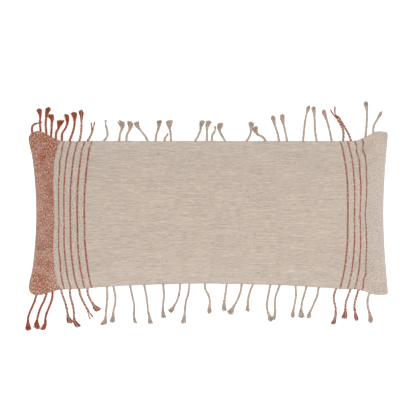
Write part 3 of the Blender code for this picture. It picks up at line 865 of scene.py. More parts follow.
@dataclass(frozen=True)
class Settling:
    """Cloth settings under which a sewn panel settles over its stuffing."""

    frames: int = 30
    pressure: float = 3.0
    mass: float = 0.010
    stiffness: float = 30.0
    shear: float = 5.0
    bending: float = 0.4
    damping: float = 5.0
    gravity: float = 5.0
    slack: float = 0.017  # spare cloth in the panel, as a share of its size

    def settle(self, mesh: Mesh, sewn: list[int]) -> np.ndarray:
        """Let a panel settle under its stuffing's pressure.

        Args:
            mesh: The panel in its first place.
            sewn: Numbers of the points that are sewn down.

        Returns:
            The settled places, one row for each point.
        """
        scene = bpy.context.scene
        holder = bpy.data.objects.new(mesh.name, mesh)
        scene.collection.objects.link(holder)
        group = holder.vertex_groups.new(name="sewn")
        group.add(sewn, 1.0, "REPLACE")
        modifier = holder.modifiers.new("settle", "CLOTH")
        cloth = modifier.settings
        cloth.quality = 5
        cloth.mass = self.mass
        cloth.tension_stiffness = cloth.compression_stiffness = self.stiffness
        cloth.shear_stiffness = self.shear
        cloth.bending_stiffness = self.bending
        cloth.tension_damping = cloth.compression_damping = self.damping
        cloth.shear_damping = self.damping
        cloth.bending_damping = self.bending
        cloth.air_damping = 3.0
        cloth.vertex_group_mass = group.name
        cloth.shrink_min = -self.slack
        cloth.use_pressure = True
        cloth.uniform_pressure_force = self.pressure
        modifier.collision_settings.use_collision = False
        modifier.point_cache.frame_start = 1
        modifier.point_cache.frame_end = self.frames
        scene.gravity = (0.0, 0.0, -self.gravity)
        for step in range(1, self.frames + 1):
            scene.frame_set(step)
        graph = bpy.context.evaluated_depsgraph_get()
        settled = holder.evaluated_get(graph).data
        places = np.empty(len(settled.vertices) * 3)
        settled.vertices.foreach_get("co", places)
        bpy.data.objects.remove(holder)
        return places.reshape(-1, 3)


@dataclass(frozen=True)
class Crease:
    """A soft fold of the front panel, between two places given by shares of its length and width."""

    start: tuple[float, float]
    end: tuple[float, float]
    depth: float
    width: float
    ridge: float = 0.45  # height of the ridges beside the fold, as a share of its depth
    ridge_place: float = 1.7  # and how many widths off they stand

    def drop(self, x: float, y: float) -> float:
        """Return how far the cloth dips at a place on the flat cloth, in metres."""
        ax, ay = self.start
        dx, dy = self.end[0] - ax, self.end[1] - ay
        along = ((x - ax) * dx + (y - ay) * dy) / (dx * dx + dy * dy)
        if not 0.0 < along < 1.0:
            return 0.0
        off = math.hypot(x - ax - along * dx, y - ay - along * dy) / self.width
        fold = math.exp(-off * off) - self.ridge * math.exp(-((off - self.ridge_place) ** 2))
        return self.depth * math.sin(math.pi * along) ** 0.7 * fold


# Folds from the corners inwards, then shallow ones beside the long seams.
CREASES = (
    Crease((-0.440, -0.140), (-0.385, -0.165), 0.0083, 0.0085),
    Crease((-0.435, 0.150), (-0.375, 0.110), 0.0060, 0.0100),
    Crease((-0.420, -0.190), (-0.360, -0.150), 0.0060, 0.0080),
    Crease((0.440, -0.190), (0.370, -0.165), 0.0083, 0.0085),
    Crease((0.435, -0.165), (0.385, -0.120), 0.0060, 0.0095),
    Crease((0.430, 0.190), (0.350, 0.160), 0.0075, 0.0090),
    Crease((0.440, 0.150), (0.380, 0.130), 0.0060, 0.0090),
    Crease((0.300, 0.195), (0.330, 0.150), 0.0045, 0.0090),
    Crease((-0.330, -0.195), (-0.300, -0.150), 0.0045, 0.0100),
    Crease((-0.300, -0.170), (-0.120, -0.178), 0.0039, 0.0090),
    Crease((0.020, -0.182), (0.170, -0.172), 0.0039, 0.0090),
    Crease((-0.060, 0.176), (0.110, 0.183), 0.0033, 0.0080),
)


class Panel:
    """One panel of cloth as a grid of rows and columns, with its place on the flat cloth."""

    def __init__(
        self,
        name: str,
        length_shares: Sequence[float],
        rows: Sequence[tuple[float, float]],
        shape: StuffedShape,
        point: Callable[[float, float, float], Vector],
        faces_down: bool,
    ) -> None:
        """Lay the panel out.

        Args:
            name: The panel's name.
            length_shares: The columns' shares of the flat length.
            rows: The rows' shares of the flat width, each with its stand back from the zip.
            shape: The stuffed shape.
            point: Gives a point's place from its shares and stand back.
            faces_down: Whether the outer face looks down.
        """
        self.name = name
        self.columns = len(length_shares)
        self.rows = len(rows)
        places, flat = [], []
        for across, slit in rows:
            for along in length_shares:
                places.append(point(along, across, slit))
                flat.append((along * shape.flat_half_length, across * shape.flat_half_width, 0.0))
        self.places = np.array(places)
        self.flat = np.array(flat)
        self.faces_down = faces_down
        self.numbers: list[int] = []

    def edge(self) -> list[int]:
        """Return the numbers of the points on the panel's edge."""
        last_row, last_column = self.rows - 1, self.columns - 1
        return [
            row * self.columns + column
            for row in range(self.rows)
            for column in range(self.columns)
            if row in (0, last_row) or column in (0, last_column)
        ]

    def mesh(self) -> Mesh:
        """Return the panel as a mesh with its flat map."""
        bm = bmesh.new()
        flat_map = bm.loops.layers.uv.new(FLAT_MAP)
        bmesh.ops.create_grid(bm, x_segments=self.columns - 1, y_segments=self.rows - 1, size=0.5)
        bm.verts.ensure_lookup_table()
        order = {}
        for vert in bm.verts:
            column = round((vert.co.x + 0.5) * (self.columns - 1))
            row = round((vert.co.y + 0.5) * (self.rows - 1))
            order[vert] = row * self.columns + column
        for face in bm.faces:
            for loop in face.loops:
                loop[flat_map].uv = self.flat[order[loop.vert]][:2]
        for vert, number in order.items():
            vert.co = self.places[number]
        self.numbers = [order[vert] for vert in bm.verts]
        if self.faces_down:
            bmesh.ops.reverse_faces(bm, faces=bm.faces)
        return finish_mesh(bm, self.name)

    def settle(self, settling: Settling) -> None:
        """Let the panel's cloth settle between its sewn edges."""
        mesh = self.mesh()
        sewn_points = set(self.edge())
        sewn = [index for index, number in enumerate(self.numbers) if number in sewn_points]
        settled = settling.settle(mesh, sewn)
        for index, number in enumerate(self.numbers):
            self.places[number] = settled[index]
        bpy.data.meshes.remove(mesh)

    def fold(self, creases: Iterable[Crease]) -> None:
        """Press creases into the panel."""
        for number, (x, y, _) in enumerate(self.flat):
            self.places[number][2] -= sum(crease.drop(x, y) for crease in creases)

    def sample(self, along: float, across: float) -> Vector:
        """Return the settled place at shares of the panel's length and width."""
        column = (along + 1.0) / 2 * (self.columns - 1)
        row = (across + 1.0) / 2 * (self.rows - 1)
        left, low = min(int(column), self.columns - 2), min(int(row), self.rows - 2)
        right_share, high_share = column - left, row - low
        corner = self.places[low * self.columns + left]
        beside = self.places[low * self.columns + left + 1]
        above = self.places[(low + 1) * self.columns + left]
        far = self.places[(low + 1) * self.columns + left + 1]
        near = corner + (beside - corner) * right_share
        away = above + (far - above) * right_share
        return Vector(near + (away - near) * high_share)


# ---------------------------------------------------------------- the cover
@dataclass
class Cover:
    """The stuffed cover: the front panel, and the back panel in two parts beside the zip."""

    shape: StuffedShape
    finishes: Finishes
    settling: Settling = field(default_factory=Settling)
    columns: int = 132
    rows: int = 60
    zip_half_length: float = 0.320
    zip_closed_beyond: float = 0.015
    zip_opening_half: float = 0.0045
    slit_closed_half: float = 0.00045
    back_columns: int = 120
    strip_rows: int = 6
    main_rows: int = 48
    ruffle: float = 0.0011  # how far the cloth stands up and down beside the long seams
    ruffle_reach: float = 0.030
    ruffle_hem: float = 0.004  # beside the seam the ruffles fade in over this
    ruffle_zip_reach: float = 0.012  # and beside the zip they fade out over this
    ruffle_zip_end: float = 0.36
    start_thickness: float = 0.128  # before the cloth settles outwards

    def front_point(self, along: float, across: float, _: float) -> Vector:
        """Return the front panel's place before it settles."""
        return self.shape.round_corner(self.shape.front(along, across))

    def ruffled(self, along: float, across: float, slit: float) -> Vector:
        """Return the back panel's place, with low ruffles beside the seams that fade out at the zip."""
        place = self.shape.back(along, across, slit)
        edge = min(1.0 - abs(across), 1.0 - abs(along)) * self.shape.flat_half_width
        hem = 1.0 - math.exp(-((edge / self.ruffle_hem) ** 2))
        rise = math.exp(-((edge / self.ruffle_reach - 0.45) ** 2) * 5.0) * hem
        if across < 0 and abs(along) * self.shape.half_length < self.ruffle_zip_end:
            off_zip = abs(abs(across) - self.shape.zip_row_share) * self.shape.flat_half_width
            rise *= min(1.0, off_zip / self.ruffle_zip_reach)
        wave = math.sin(along * 61.0) + 0.7 * math.sin(along * 23.0 + 1.3)
        wave += 0.5 * math.sin(along * 97.0 + across * 9.0)
        place.z += self.ruffle * rise * wave
        return self.shape.round_corner(place)

    def slit_half(self, along: float) -> float:
        """Return how far a lip of the zip's slit stands back, at a share of the length."""
        beyond = abs(along) * self.shape.half_length - self.zip_half_length
        closing = unit(beyond / self.zip_closed_beyond)
        return self.zip_opening_half + (self.slit_closed_half - self.zip_opening_half) * closing

    def back_point(self, along: float, across: float, side: float) -> Vector:
        """Return the back panel's place; side is -1 or 1 on a lip of the zip's slit."""
        return self.ruffled(along, across, side * self.slit_half(along))

    def finish(self, panel: Panel, nodes: Sequence[str], material: Material) -> Piece:
        """Make a panel a piece with a wall of cloth.

        Args:
            panel: The panel.
            nodes: The CAD nodes that it stands for.
            material: Its finish.

        Returns:
            The piece.
        """
        piece = add_piece(panel.name, panel.mesh(), [material])
        smooth = piece.modifiers.new("smooth", "SUBSURF")
        smooth.levels = smooth.render_levels = 1
        smooth.boundary_smooth = "PRESERVE_CORNERS"
        thicken(piece, self.shape.cloth)
        dress(piece, "cover_cloth", *nodes)
        LOG.info("%s: %d points", panel.name, len(panel.places))
        return piece

    def build_front(self) -> Panel:
        """Make the front panel and let it settle."""
        start = self.shape
        rows = [(across, 0.0) for across in even_shares(self.rows)]
        low = StuffedShape(start.half_length, start.half_width, self.start_thickness)
        point = Cover(low, self.finishes).front_point
        panel = Panel("front_panel_cloth", even_shares(self.columns), rows, low, point, False)
        panel.settle(self.settling)
        panel.fold(CREASES)
        return panel

    def build(self) -> tuple[Panel, list[Piece]]:
        """Make the three panels.

        Returns:
            The settled front panel, and the pieces.
        """
        front = self.build_front()
        pieces = [self.finish(front, ["front_panel"], self.finishes.front)]
        row = self.shape.zip_row_share
        lengths = even_shares(self.back_columns)
        strip = [(-1.0 + (1.0 - row) * step / self.strip_rows, 0.0) for step in range(self.strip_rows)]
        strip.append((-row, 1.0))
        main = [(-row, -1.0)]
        main += [(-row + (1.0 + row) * step / self.main_rows, 0.0) for step in range(1, self.main_rows + 1)]
        for name, rows in (("lower", strip), ("upper", main)):
            panel = Panel(f"back_panel_{name}_cloth", lengths, rows, self.shape, self.back_point, True)
            pieces.append(self.finish(panel, [f"back_panel_{name}"], self.finishes.back))
        return front, pieces

    def declare(self, pieces: list[Piece], under: Piece) -> None:
        """Go over the panels with their cut widths; nothing is done with them.

        Args:
            pieces: The front, lower back and upper back panels.
            under: The insert's casing; not used.
        """
        length, width = 2 * self.shape.flat_half_length, 2 * self.shape.flat_half_width
        strip = width * (1.0 - self.shape.zip_row_share) / 2
        for piece, across in zip(pieces, (width, strip, width - strip)):
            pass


@dataclass
class Insert:
    """The stuffed insert inside the cover: two casing plies sewn round their filling."""

    shape: StuffedShape
    front: Panel
    finishes: Finishes
    inset: float = 0.030
    casing: float = 0.0008
    clearance: float = 0.0045
    fill_inset: float = 0.038
    fill_clearance: float = 0.0075
    edge_powers: tuple[float, float] = (10.0, 7.0)  # how squarely it fills its length and its width
    columns: int = 64
    rows: int = 30

    def share(self, value: float, inset: float, half: float) -> float:
        """Return a share of the cover that lies inset from its edge."""
        return value * (1.0 - inset / half)

    def level_share(self, along: float, across: float) -> float:
        """Return how much of the cover's height the insert reaches, down to 0 at its own seam."""
        length_power, width_power = self.edge_powers
        return (1.0 - abs(along) ** length_power) * (1.0 - abs(across) ** width_power)

    def point(self, along: float, across: float, upper: bool, fill: bool) -> Vector:
        """Return a place on the insert.

        Args:
            along: Share of the insert's length.
            across: Share of the insert's width.
            upper: Whether it is on the upper face.
            fill: Whether it is on the filling, inside the casing.

        Returns:
            The place.
        """
        inset = self.fill_inset if fill else self.inset
        clearance = self.fill_clearance if fill else self.clearance
        u = self.share(along, inset, self.shape.flat_half_length)
        v = self.share(across, inset, self.shape.flat_half_width)
        outer = self.front.sample(u, v) if upper else self.shape.back(u, v)
        seam = self.shape.seam_height - 0.5 * self.shape.corner_drop * abs(along * across) ** 4
        lip = 0.0 if fill else (self.casing + GAP / 2) * (1.0 if upper else -1.0)
        room = outer.z - seam - (clearance if upper else -clearance)
        room = max(0.0, room) if upper else min(0.0, room)
        outer.z = seam + lip + (room - lip) * self.level_share(along, across)
        return outer

    def panel(self, name: str, upper: bool, fill: bool) -> Panel:
        """Lay out one face of the casing or of the filling."""

        def point(along: float, across: float, _: float) -> Vector:
            """Return a place on this face."""
            return self.point(along, across, upper, fill)

        rows = [(across, 0.0) for across in even_shares(self.rows)]
        return Panel(name, even_shares(self.columns), rows, self.shape, point, not upper)

    def build(self) -> list[Piece]:
        """Make the casing and the filling.

        Returns:
            The casing's plies, then the filling.
        """
        plies = []
        for name, upper in (("front", True), ("back", False)):
            mesh = self.panel(f"insert_{name}_casing", upper, False).mesh()
            ply = add_piece(mesh.name, mesh, [self.finishes.casing])
            thicken(ply, self.casing)
            dress(ply, "insert_casing", f"insert_{name}")
            plies.append(ply)
        bm = bmesh.new()
        for upper in (True, False):
            half = self.panel("filling", upper, True).mesh()
            bm.from_mesh(half)
            bpy.data.meshes.remove(half)
        bmesh.ops.remove_doubles(bm, verts=bm.verts, dist=SEAM_WELD)
        bmesh.ops.recalc_face_normals(bm, faces=bm.faces)
        mesh = finish_mesh(bm, "insert_filling")
        filling = add_piece(mesh.name, mesh, [self.finishes.filling])
        dress(filling, "filling", "insert_fill")
        length = 2 * (self.shape.flat_half_length - self.inset)
        width = 2 * (self.shape.flat_half_width - self.inset)
        LOG.info("insert: %d pieces", len(plies) + 1)
        return plies + [filling]


# ---------------------------------------------------------------- the fringe
class Side(Enum):
    """A long seam of the cover, by the sign of its place across it."""

    UPPER = 1.0
    LOWER = -1.0


class Ply(Enum):
    """The yarns that a cord's two plies are spun from, and a name for them."""

    RUST = ("rust_yarn", (0, 0))
    CREAM = ("cream_yarn", (1, 1))
    MIXED = ("mixed_yarn", (0, 1))


class Tuft(Enum):
    """How a cord ends: half width, length, number of yarns, and whether it is knotted.

    BROOM flares from a knot, BUD swells softly, TAIL hangs long and narrow, FORK parts into tails, and
    BARE is a short frayed end.
    """

    BROOM = (0.0092, 0.0235, 34, True)
    BUD = (0.0058, 0.0270, 26, False)
    TAIL = (0.0066, 0.0265, 26, True)
    FORK = (0.0072, 0.0215, 20, True)
    BARE = (0.0026, 0.0130, 9, False)


RUST, CREAM, MIXED = Ply.RUST, Ply.CREAM, Ply.MIXED
BROOM, BUD, TAIL, FORK, BARE = Tuft.BROOM, Tuft.BUD, Tuft.TAIL, Tuft.FORK, Tuft.BARE

# Cords in the order of their numbers, each with its yarn, its end and its route: place along the pillow and
# distance out from the seam, from root to tip. The first 23 of each edge are the CAD model's cords, and the
# others lie between them.
UPPER_CORDS = (
    (RUST, BARE, ((-0.440, 0.001), (-0.439, 0.015), (-0.428, 0.022), (-0.419, 0.014))),
    (RUST, BROOM, ((-0.417, 0.001), (-0.419, 0.021), (-0.418, 0.039), (-0.420, 0.054))),
    (RUST, BROOM, ((-0.402, 0.001), (-0.404, 0.024), (-0.402, 0.044), (-0.400, 0.060))),
    (RUST, BROOM, ((-0.378, 0.001), (-0.377, 0.016), (-0.371, 0.028), (-0.368, 0.044))),
    (RUST, BROOM, ((-0.363, 0.001), (-0.362, 0.018), (-0.354, 0.031), (-0.349, 0.044), (-0.348, 0.060))),
    (RUST, BROOM, ((-0.344, 0.001), (-0.337, 0.018), (-0.332, 0.036), (-0.331, 0.051), (-0.331, 0.069))),
    (MIXED, BUD, ((-0.319, 0.001), (-0.315, 0.022), (-0.314, 0.040), (-0.314, 0.054), (-0.311, 0.070))),
    (MIXED, FORK, ((-0.299, 0.001), (-0.290, 0.017), (-0.287, 0.029), (-0.290, 0.044))),
    (CREAM, BARE, ((-0.259, 0.001), (-0.251, 0.011), (-0.250, 0.022), (-0.254, 0.039), (-0.256, 0.053))),
    (CREAM, BROOM, ((-0.221, 0.001), (-0.219, 0.017), (-0.214, 0.030), (-0.210, 0.042))),
    (CREAM, BROOM, ((-0.150, 0.001), (-0.157, 0.013), (-0.166, 0.024), (-0.173, 0.034), (-0.177, 0.046))),
    (CREAM, BROOM, ((-0.131, 0.001), (-0.129, 0.017), (-0.124, 0.031), (-0.122, 0.046))),
    (CREAM, BROOM, ((-0.093, 0.001), (-0.094, 0.019), (-0.096, 0.032), (-0.097, 0.047))),
    (CREAM, BROOM, ((-0.034, 0.001), (-0.026, 0.013), (-0.021, 0.025), (-0.019, 0.036), (-0.018, 0.047))),
    (CREAM, BROOM, ((0.041, 0.001), (0.034, 0.012), (0.028, 0.023), (0.027, 0.038))),
    (CREAM, BROOM, ((0.093, 0.001), (0.101, 0.012), (0.105, 0.026), (0.105, 0.043))),
    (CREAM, BUD, ((0.174, 0.001), (0.170, 0.020), (0.164, 0.038), (0.159, 0.057))),
    (CREAM, BUD, ((0.233, 0.001), (0.236, 0.030), (0.240, 0.057), (0.246, 0.084))),
    (CREAM, BUD, ((0.267, 0.001), (0.263, 0.025), (0.262, 0.053), (0.261, 0.078))),
    (CREAM, BUD, ((0.304, 0.001), (0.299, 0.025), (0.293, 0.048), (0.286, 0.069))),
    (MIXED, FORK, ((0.332, 0.001), (0.333, 0.019), (0.330, 0.033), (0.322, 0.048), (0.312, 0.064),
        (0.306, 0.078))),
    (CREAM, BUD, ((0.388, 0.001), (0.391, 0.030), (0.392, 0.056), (0.391, 0.082))),
    (CREAM, BUD, ((0.409, 0.001), (0.408, 0.007), (0.411, 0.020), (0.419, 0.033), (0.427, 0.047))),
    (RUST, BROOM, ((-0.390, 0.001), (-0.389, 0.018), (-0.388, 0.036), (-0.383, 0.052))),
    (CREAM, BROOM, ((-0.203, 0.001), (-0.202, 0.014), (-0.196, 0.026), (-0.188, 0.040))),
    (CREAM, BROOM, ((-0.005, 0.001), (-0.004, 0.014), (-0.004, 0.028), (-0.003, 0.045))),
    (CREAM, BARE, ((0.008, 0.001), (0.009, 0.014), (0.014, 0.022), (0.019, 0.035))),
    (CREAM, BARE, ((-0.109, 0.001), (-0.107, 0.009), (-0.101, 0.008))),
    (CREAM, BROOM, ((0.141, 0.001), (0.133, 0.010), (0.121, 0.016), (0.117, 0.031))),
    (CREAM, BUD, ((0.194, 0.001), (0.189, 0.025), (0.185, 0.042), (0.180, 0.060))),
    (MIXED, BARE, ((0.352, 0.001), (0.346, 0.016), (0.337, 0.032), (0.328, 0.048), (0.318, 0.065))),
)
LOWER_CORDS = (
    (RUST, BROOM, ((-0.428, 0.001), (-0.432, 0.014), (-0.439, 0.031), (-0.446, 0.047), (-0.449, 0.061),
        (-0.448, 0.083))),
    (RUST, BROOM, ((-0.401, 0.001), (-0.407, 0.017), (-0.415, 0.033), (-0.421, 0.049), (-0.425, 0.066),
        (-0.429, 0.086))),
    (RUST, BROOM, ((-0.386, 0.001), (-0.387, 0.017), (-0.394, 0.038), (-0.401, 0.055), (-0.404, 0.070),
        (-0.402, 0.091))),
    (MIXED, BROOM, ((-0.365, 0.001), (-0.360, 0.017), (-0.354, 0.034), (-0.350, 0.051), (-0.348, 0.065),
        (-0.348, 0.083))),
    (MIXED, BROOM, ((-0.343, 0.001), (-0.341, 0.019), (-0.336, 0.038), (-0.333, 0.054), (-0.332, 0.070),
        (-0.330, 0.092))),
    (MIXED, FORK, ((-0.320, 0.001), (-0.317, 0.015), (-0.311, 0.029), (-0.304, 0.043), (-0.297, 0.057),
        (-0.294, 0.073))),
    (MIXED, BROOM, ((-0.299, 0.001), (-0.298, 0.014), (-0.292, 0.028), (-0.284, 0.042), (-0.276, 0.054))),
    (CREAM, BROOM, ((-0.251, 0.001), (-0.250, 0.025), (-0.252, 0.049), (-0.254, 0.070), (-0.255, 0.093))),
    (CREAM, TAIL, ((-0.194, 0.001), (-0.188, 0.028), (-0.184, 0.046), (-0.184, 0.064), (-0.186, 0.087))),
    (CREAM, TAIL, ((-0.159, 0.001), (-0.153, 0.030), (-0.151, 0.048), (-0.149, 0.066), (-0.143, 0.090))),
    (CREAM, TAIL, ((-0.112, 0.001), (-0.110, 0.028), (-0.112, 0.049), (-0.114, 0.077))),
    (CREAM, BROOM, ((-0.070, 0.001), (-0.072, 0.022), (-0.077, 0.040), (-0.085, 0.055), (-0.094, 0.070))),
    (CREAM, TAIL, ((-0.047, 0.001), (-0.050, 0.025), (-0.055, 0.041), (-0.058, 0.061), (-0.060, 0.093))),
    (CREAM, BUD, ((-0.009, 0.001), (-0.008, 0.014), (-0.001, 0.027), (0.003, 0.041), (0.002, 0.055),
        (-0.006, 0.067))),
    (CREAM, TAIL, ((0.045, 0.001), (0.043, 0.016), (0.040, 0.037), (0.036, 0.060))),
    (CREAM, BROOM, ((0.082, 0.001), (0.079, 0.019), (0.072, 0.039), (0.062, 0.057), (0.055, 0.071))),
    (CREAM, TAIL, ((0.110, 0.001), (0.103, 0.016), (0.098, 0.037), (0.096, 0.062))),
    (CREAM, BROOM, ((0.153, 0.001), (0.149, 0.018), (0.146, 0.035), (0.144, 0.053), (0.147, 0.069),
        (0.154, 0.086))),
    (CREAM, BUD, ((0.215, 0.001), (0.216, 0.022), (0.214, 0.039), (0.210, 0.058), (0.207, 0.075))),
    (CREAM, BROOM, ((0.242, 0.001), (0.237, 0.018), (0.232, 0.036), (0.229, 0.055), (0.227, 0.074))),
    (MIXED, TAIL, ((0.315, 0.001), (0.310, 0.016), (0.310, 0.031), (0.314, 0.049), (0.313, 0.083))),
    (MIXED, BROOM, ((0.351, 0.001), (0.345, 0.016), (0.340, 0.031), (0.338, 0.049), (0.339, 0.068))),
    (CREAM, BUD, ((0.399, 0.001), (0.395, 0.011), (0.394, 0.027), (0.397, 0.043), (0.403, 0.064))),
    (CREAM, BROOM, ((-0.235, 0.001), (-0.230, 0.026), (-0.231, 0.045), (-0.235, 0.063), (-0.236, 0.086))),
    (CREAM, TAIL, ((0.176, 0.001), (0.170, 0.016), (0.165, 0.033), (0.164, 0.053), (0.166, 0.080))),
    (CREAM, BUD, ((0.272, 0.001), (0.268, 0.022), (0.260, 0.041), (0.252, 0.058), (0.243, 0.071))),
    (MIXED, TAIL, ((0.371, 0.001), (0.366, 0.016), (0.362, 0.032), (0.361, 0.048), (0.367, 0.068))),
)


@dataclass(frozen=True)
class Cord:
    """One fringe cord of the cover."""

    number: int
    side: Side
    ply: Ply
    tuft: Tuft
    route: Route

    @property
    def name(self) -> str:
        """The cord's name, which is its CAD node's too."""
        return f"fringe_{self.side.name.lower()}_{self.number:02d}"

    @property
    def seed(self) -> int:
        """A number of its own for the cord's small irregularities."""
        return self.number + (100 if self.side is Side.UPPER else 200)


@dataclass
class Fringe:
    """The twisted warp-end cords along both long seams."""

    shape: StuffedShape
    finishes: Finishes
    diameter: float = 0.0045
    radius: float = 0.0034  # height of a resting cord's middle
    ply_radius: float = 0.00180
    ply_offset: float = 0.00125
    lay_length: float = 0.0125  # one full turn of the plies
    samples: int = 80
    step: float = 0.0010
    drop_run: float = 0.048
    root_out: float = -0.0004
    splay: float = 0.588  # share by which a cord lies further out, for each metre that it drops
    tuft_radius: float = 0.0046
    tuft_length: float = 0.018
    path_points: int = 24
    swell_steps: int = 6  # steps between the cord's own thick and thin places
    yarn_radius: float = 0.00085
    yarn_points: int = 8
    yarn_spread: float = 0.06
    golden_turn: float = 2.399963
    tuft_lean: float = 0.32
    bud_lean_share: float = 0.4
    width_spread: tuple[float, float] = (0.75, 1.2)  # from tuft to tuft, as shares of its kind's own size
    length_spread: tuple[float, float] = (0.88, 1.1)
    yarn_lengths: tuple[float, float] = (0.78, 1.0)  # as shares of the tuft's length
    yarn_waves: tuple[float, float] = (0.0003, 0.0009)
    ply_swell: tuple[float, float] = (0.92, 1.10)
    knot_rest: float = 0.0040
    knot_points: int = 18
    knot_reach: float = 0.00240
    knot_wrap_radius: float = 0.00125
    knot_wrap_gap: float = 0.0021
    knot_tilt: float = 0.0014
    declared_most: int = 40

    def smooth_curve(self, points: list[Vector]) -> list[Vector]:
        """Return samples of a Catmull-Rom curve through the points."""
        padded = [2 * points[0] - points[1]] + points + [2 * points[-1] - points[-2]]
        spans, curve = len(points) - 1, []
        for step in range(self.samples + 1):
            place = min(step / self.samples * spans, spans - 1e-6)
            index, t = int(place), place - int(place)
            a, b, c, d = padded[index : index + 4]
            linear_part, square, cube = c - a, 2 * a - 5 * b + 4 * c - d, 3 * b - a - 3 * c + d
            curve.append(0.5 * (2 * b + linear_part * t + square * t**2 + cube * t**3))
        return curve

    def runs(self, points: list[Vector]) -> list[float]:
        """Return the distance along the points from the first to each."""
        total, result = 0.0, [0.0]
        for before, after in zip(points, points[1:]):
            total += (after - before).length
            result.append(total)
        return result

    def tuft_share(self, remaining: float) -> float:
        """How far a cord has opened, from 0 at the neck to 1."""
        return unit((self.tuft_length - remaining) / (self.tuft_length * 0.6))

    def centre_line(self, cord: Cord) -> list[Vector]:
        """Return a cord's centre line: out of the seam, down to the floor and along it."""
        sign = cord.side.value
        edge, level = self.shape.seam_edge(cord.route[0][0], sign)
        outs = [self.root_out] + [out for _, out in cord.route[1:]]
        flat = [Vector((x, sign * (edge + out), 0.0)) for (x, _), out in zip(cord.route, outs)]
        line = self.smooth_curve(flat)
        run = self.runs(line)
        for place, done in zip(line, run):
            open_radius = (self.tuft_radius - self.radius) * self.tuft_share(run[-1] - done)
            rest = self.radius + open_radius + GAP
            t = min(1.0, done / min(self.drop_run, run[-1] * 0.9))
            place.z = rest + (level - rest) * (1.0 - t) ** 2 * (1.0 + 2.0 * t)
            splay = 1.0 + self.splay * (level - place.z)
            place.x, place.y = place.x * splay, place.y * splay
        return line

    def resample(self, line: list[Vector], start: float, end: float, count: int) -> list[Vector]:
        """Return evenly spaced points of a line between two distances along it."""
        run = self.runs(line)
        points = []
        for step in range(count):
            wanted = start + (end - start) * step / (count - 1)
            index = min(len(run) - 2, max(0, sum(1 for r in run if r <= wanted) - 1))
            span = run[index + 1] - run[index]
            share = min(1.0, (wanted - run[index]) / span) if span > 0 else 0.0
            points.append(line[index].lerp(line[index + 1], share))
        return points

    def twisted(self, line: list[Vector], cord: Cord) -> list[Strand]:
        """Wind two plies round a centre line.

        Args:
            line: Evenly spaced centre points.
            cord: The cord.

        Returns:
            The two plies.
        """
        wander = random.Random(cord.seed)
        phase = wander.uniform(0.0, 2.0 * math.pi)
        swell = [wander.uniform(*self.ply_swell) for _ in range(len(line) // self.swell_steps + 3)]
        plies = []
        for number, material in enumerate(cord.ply.value[1]):
            points, radii, done = [], [], 0.0
            for index, place in enumerate(line):
                ahead = line[min(index + 1, len(line) - 1)]
                behind = line[max(index - 1, 0)]
                along = (ahead - behind).normalized()
                level = along.cross(Vector((0.0, 0.0, 1.0))).normalized()
                up = level.cross(along)
                if index:
                    done += (place - line[index - 1]).length
                turn = phase + math.pi * number + 2.0 * math.pi * done / self.lay_length
                place_before, share = divmod(index / self.swell_steps, 1.0)
                before = int(place_before)
                size = swell[before] * (1.0 - share) + swell[before + 1] * share
                reach = self.ply_offset * size
                points.append(place + level * reach * math.cos(turn) + up * reach * math.sin(turn))
                radii.append(self.ply_radius * size)
            plies.append(Strand(points, radii, material))
        return plies

    def knot(self, place: Vector, along: Vector, cord: Cord) -> list[Strand]:
        """Tie a small round knot at a cord's neck.

        Args:
            place: Where the knot is.
            along: The cord's direction there.
            cord: The cord.

        Returns:
            The knot's wraps.
        """
        level = along.cross(Vector((0.0, 0.0, 1.0))).normalized()
        up = level.cross(along)
        wraps = []
        for number, material in enumerate(cord.ply.value[1]):
            points, reach = [], self.knot_reach
            for step in range(self.knot_points):
                turn = 2.0 * math.pi * step / self.knot_points + math.pi * number
                tilt = self.knot_tilt * math.sin(turn) + (number - 0.5) * self.knot_wrap_gap
                across, rise = level * reach * math.cos(turn), up * reach * math.sin(turn)
                points.append(place + along * tilt + across + rise)
            wraps.append(Strand(points, [self.knot_wrap_radius] * len(points), material, closed=True))
        return wraps

    def yarn(self, cord: Cord, chance: random.Random, number: int, count: int) -> tuple[float, float, float]:
        """Choose where a tuft's yarn fans out to.

        Args:
            cord: The cord.
            chance: The cord's own random numbers.
            number: The yarn's number.
            count: How many yarns there are.

        Returns:
            Its share of the tuft's half width, its share of the height, and its length's share.
        """
        turn = number * self.golden_turn
        reach = math.sqrt((number + 0.5) / count)
        across, up = reach * math.cos(turn), reach * math.sin(turn)
        long = chance.uniform(*self.yarn_lengths)
        if cord.tuft is Tuft.FORK:
            across = math.copysign(0.55 + 0.45 * abs(across), across + 0.15)
        if cord.tuft is Tuft.BUD:
            long *= 1.0 - 0.16 * across * across
        if cord.tuft is Tuft.BROOM:
            long *= 1.0 - 0.12 * across * across
        return across + chance.uniform(-self.yarn_spread, self.yarn_spread), up, long

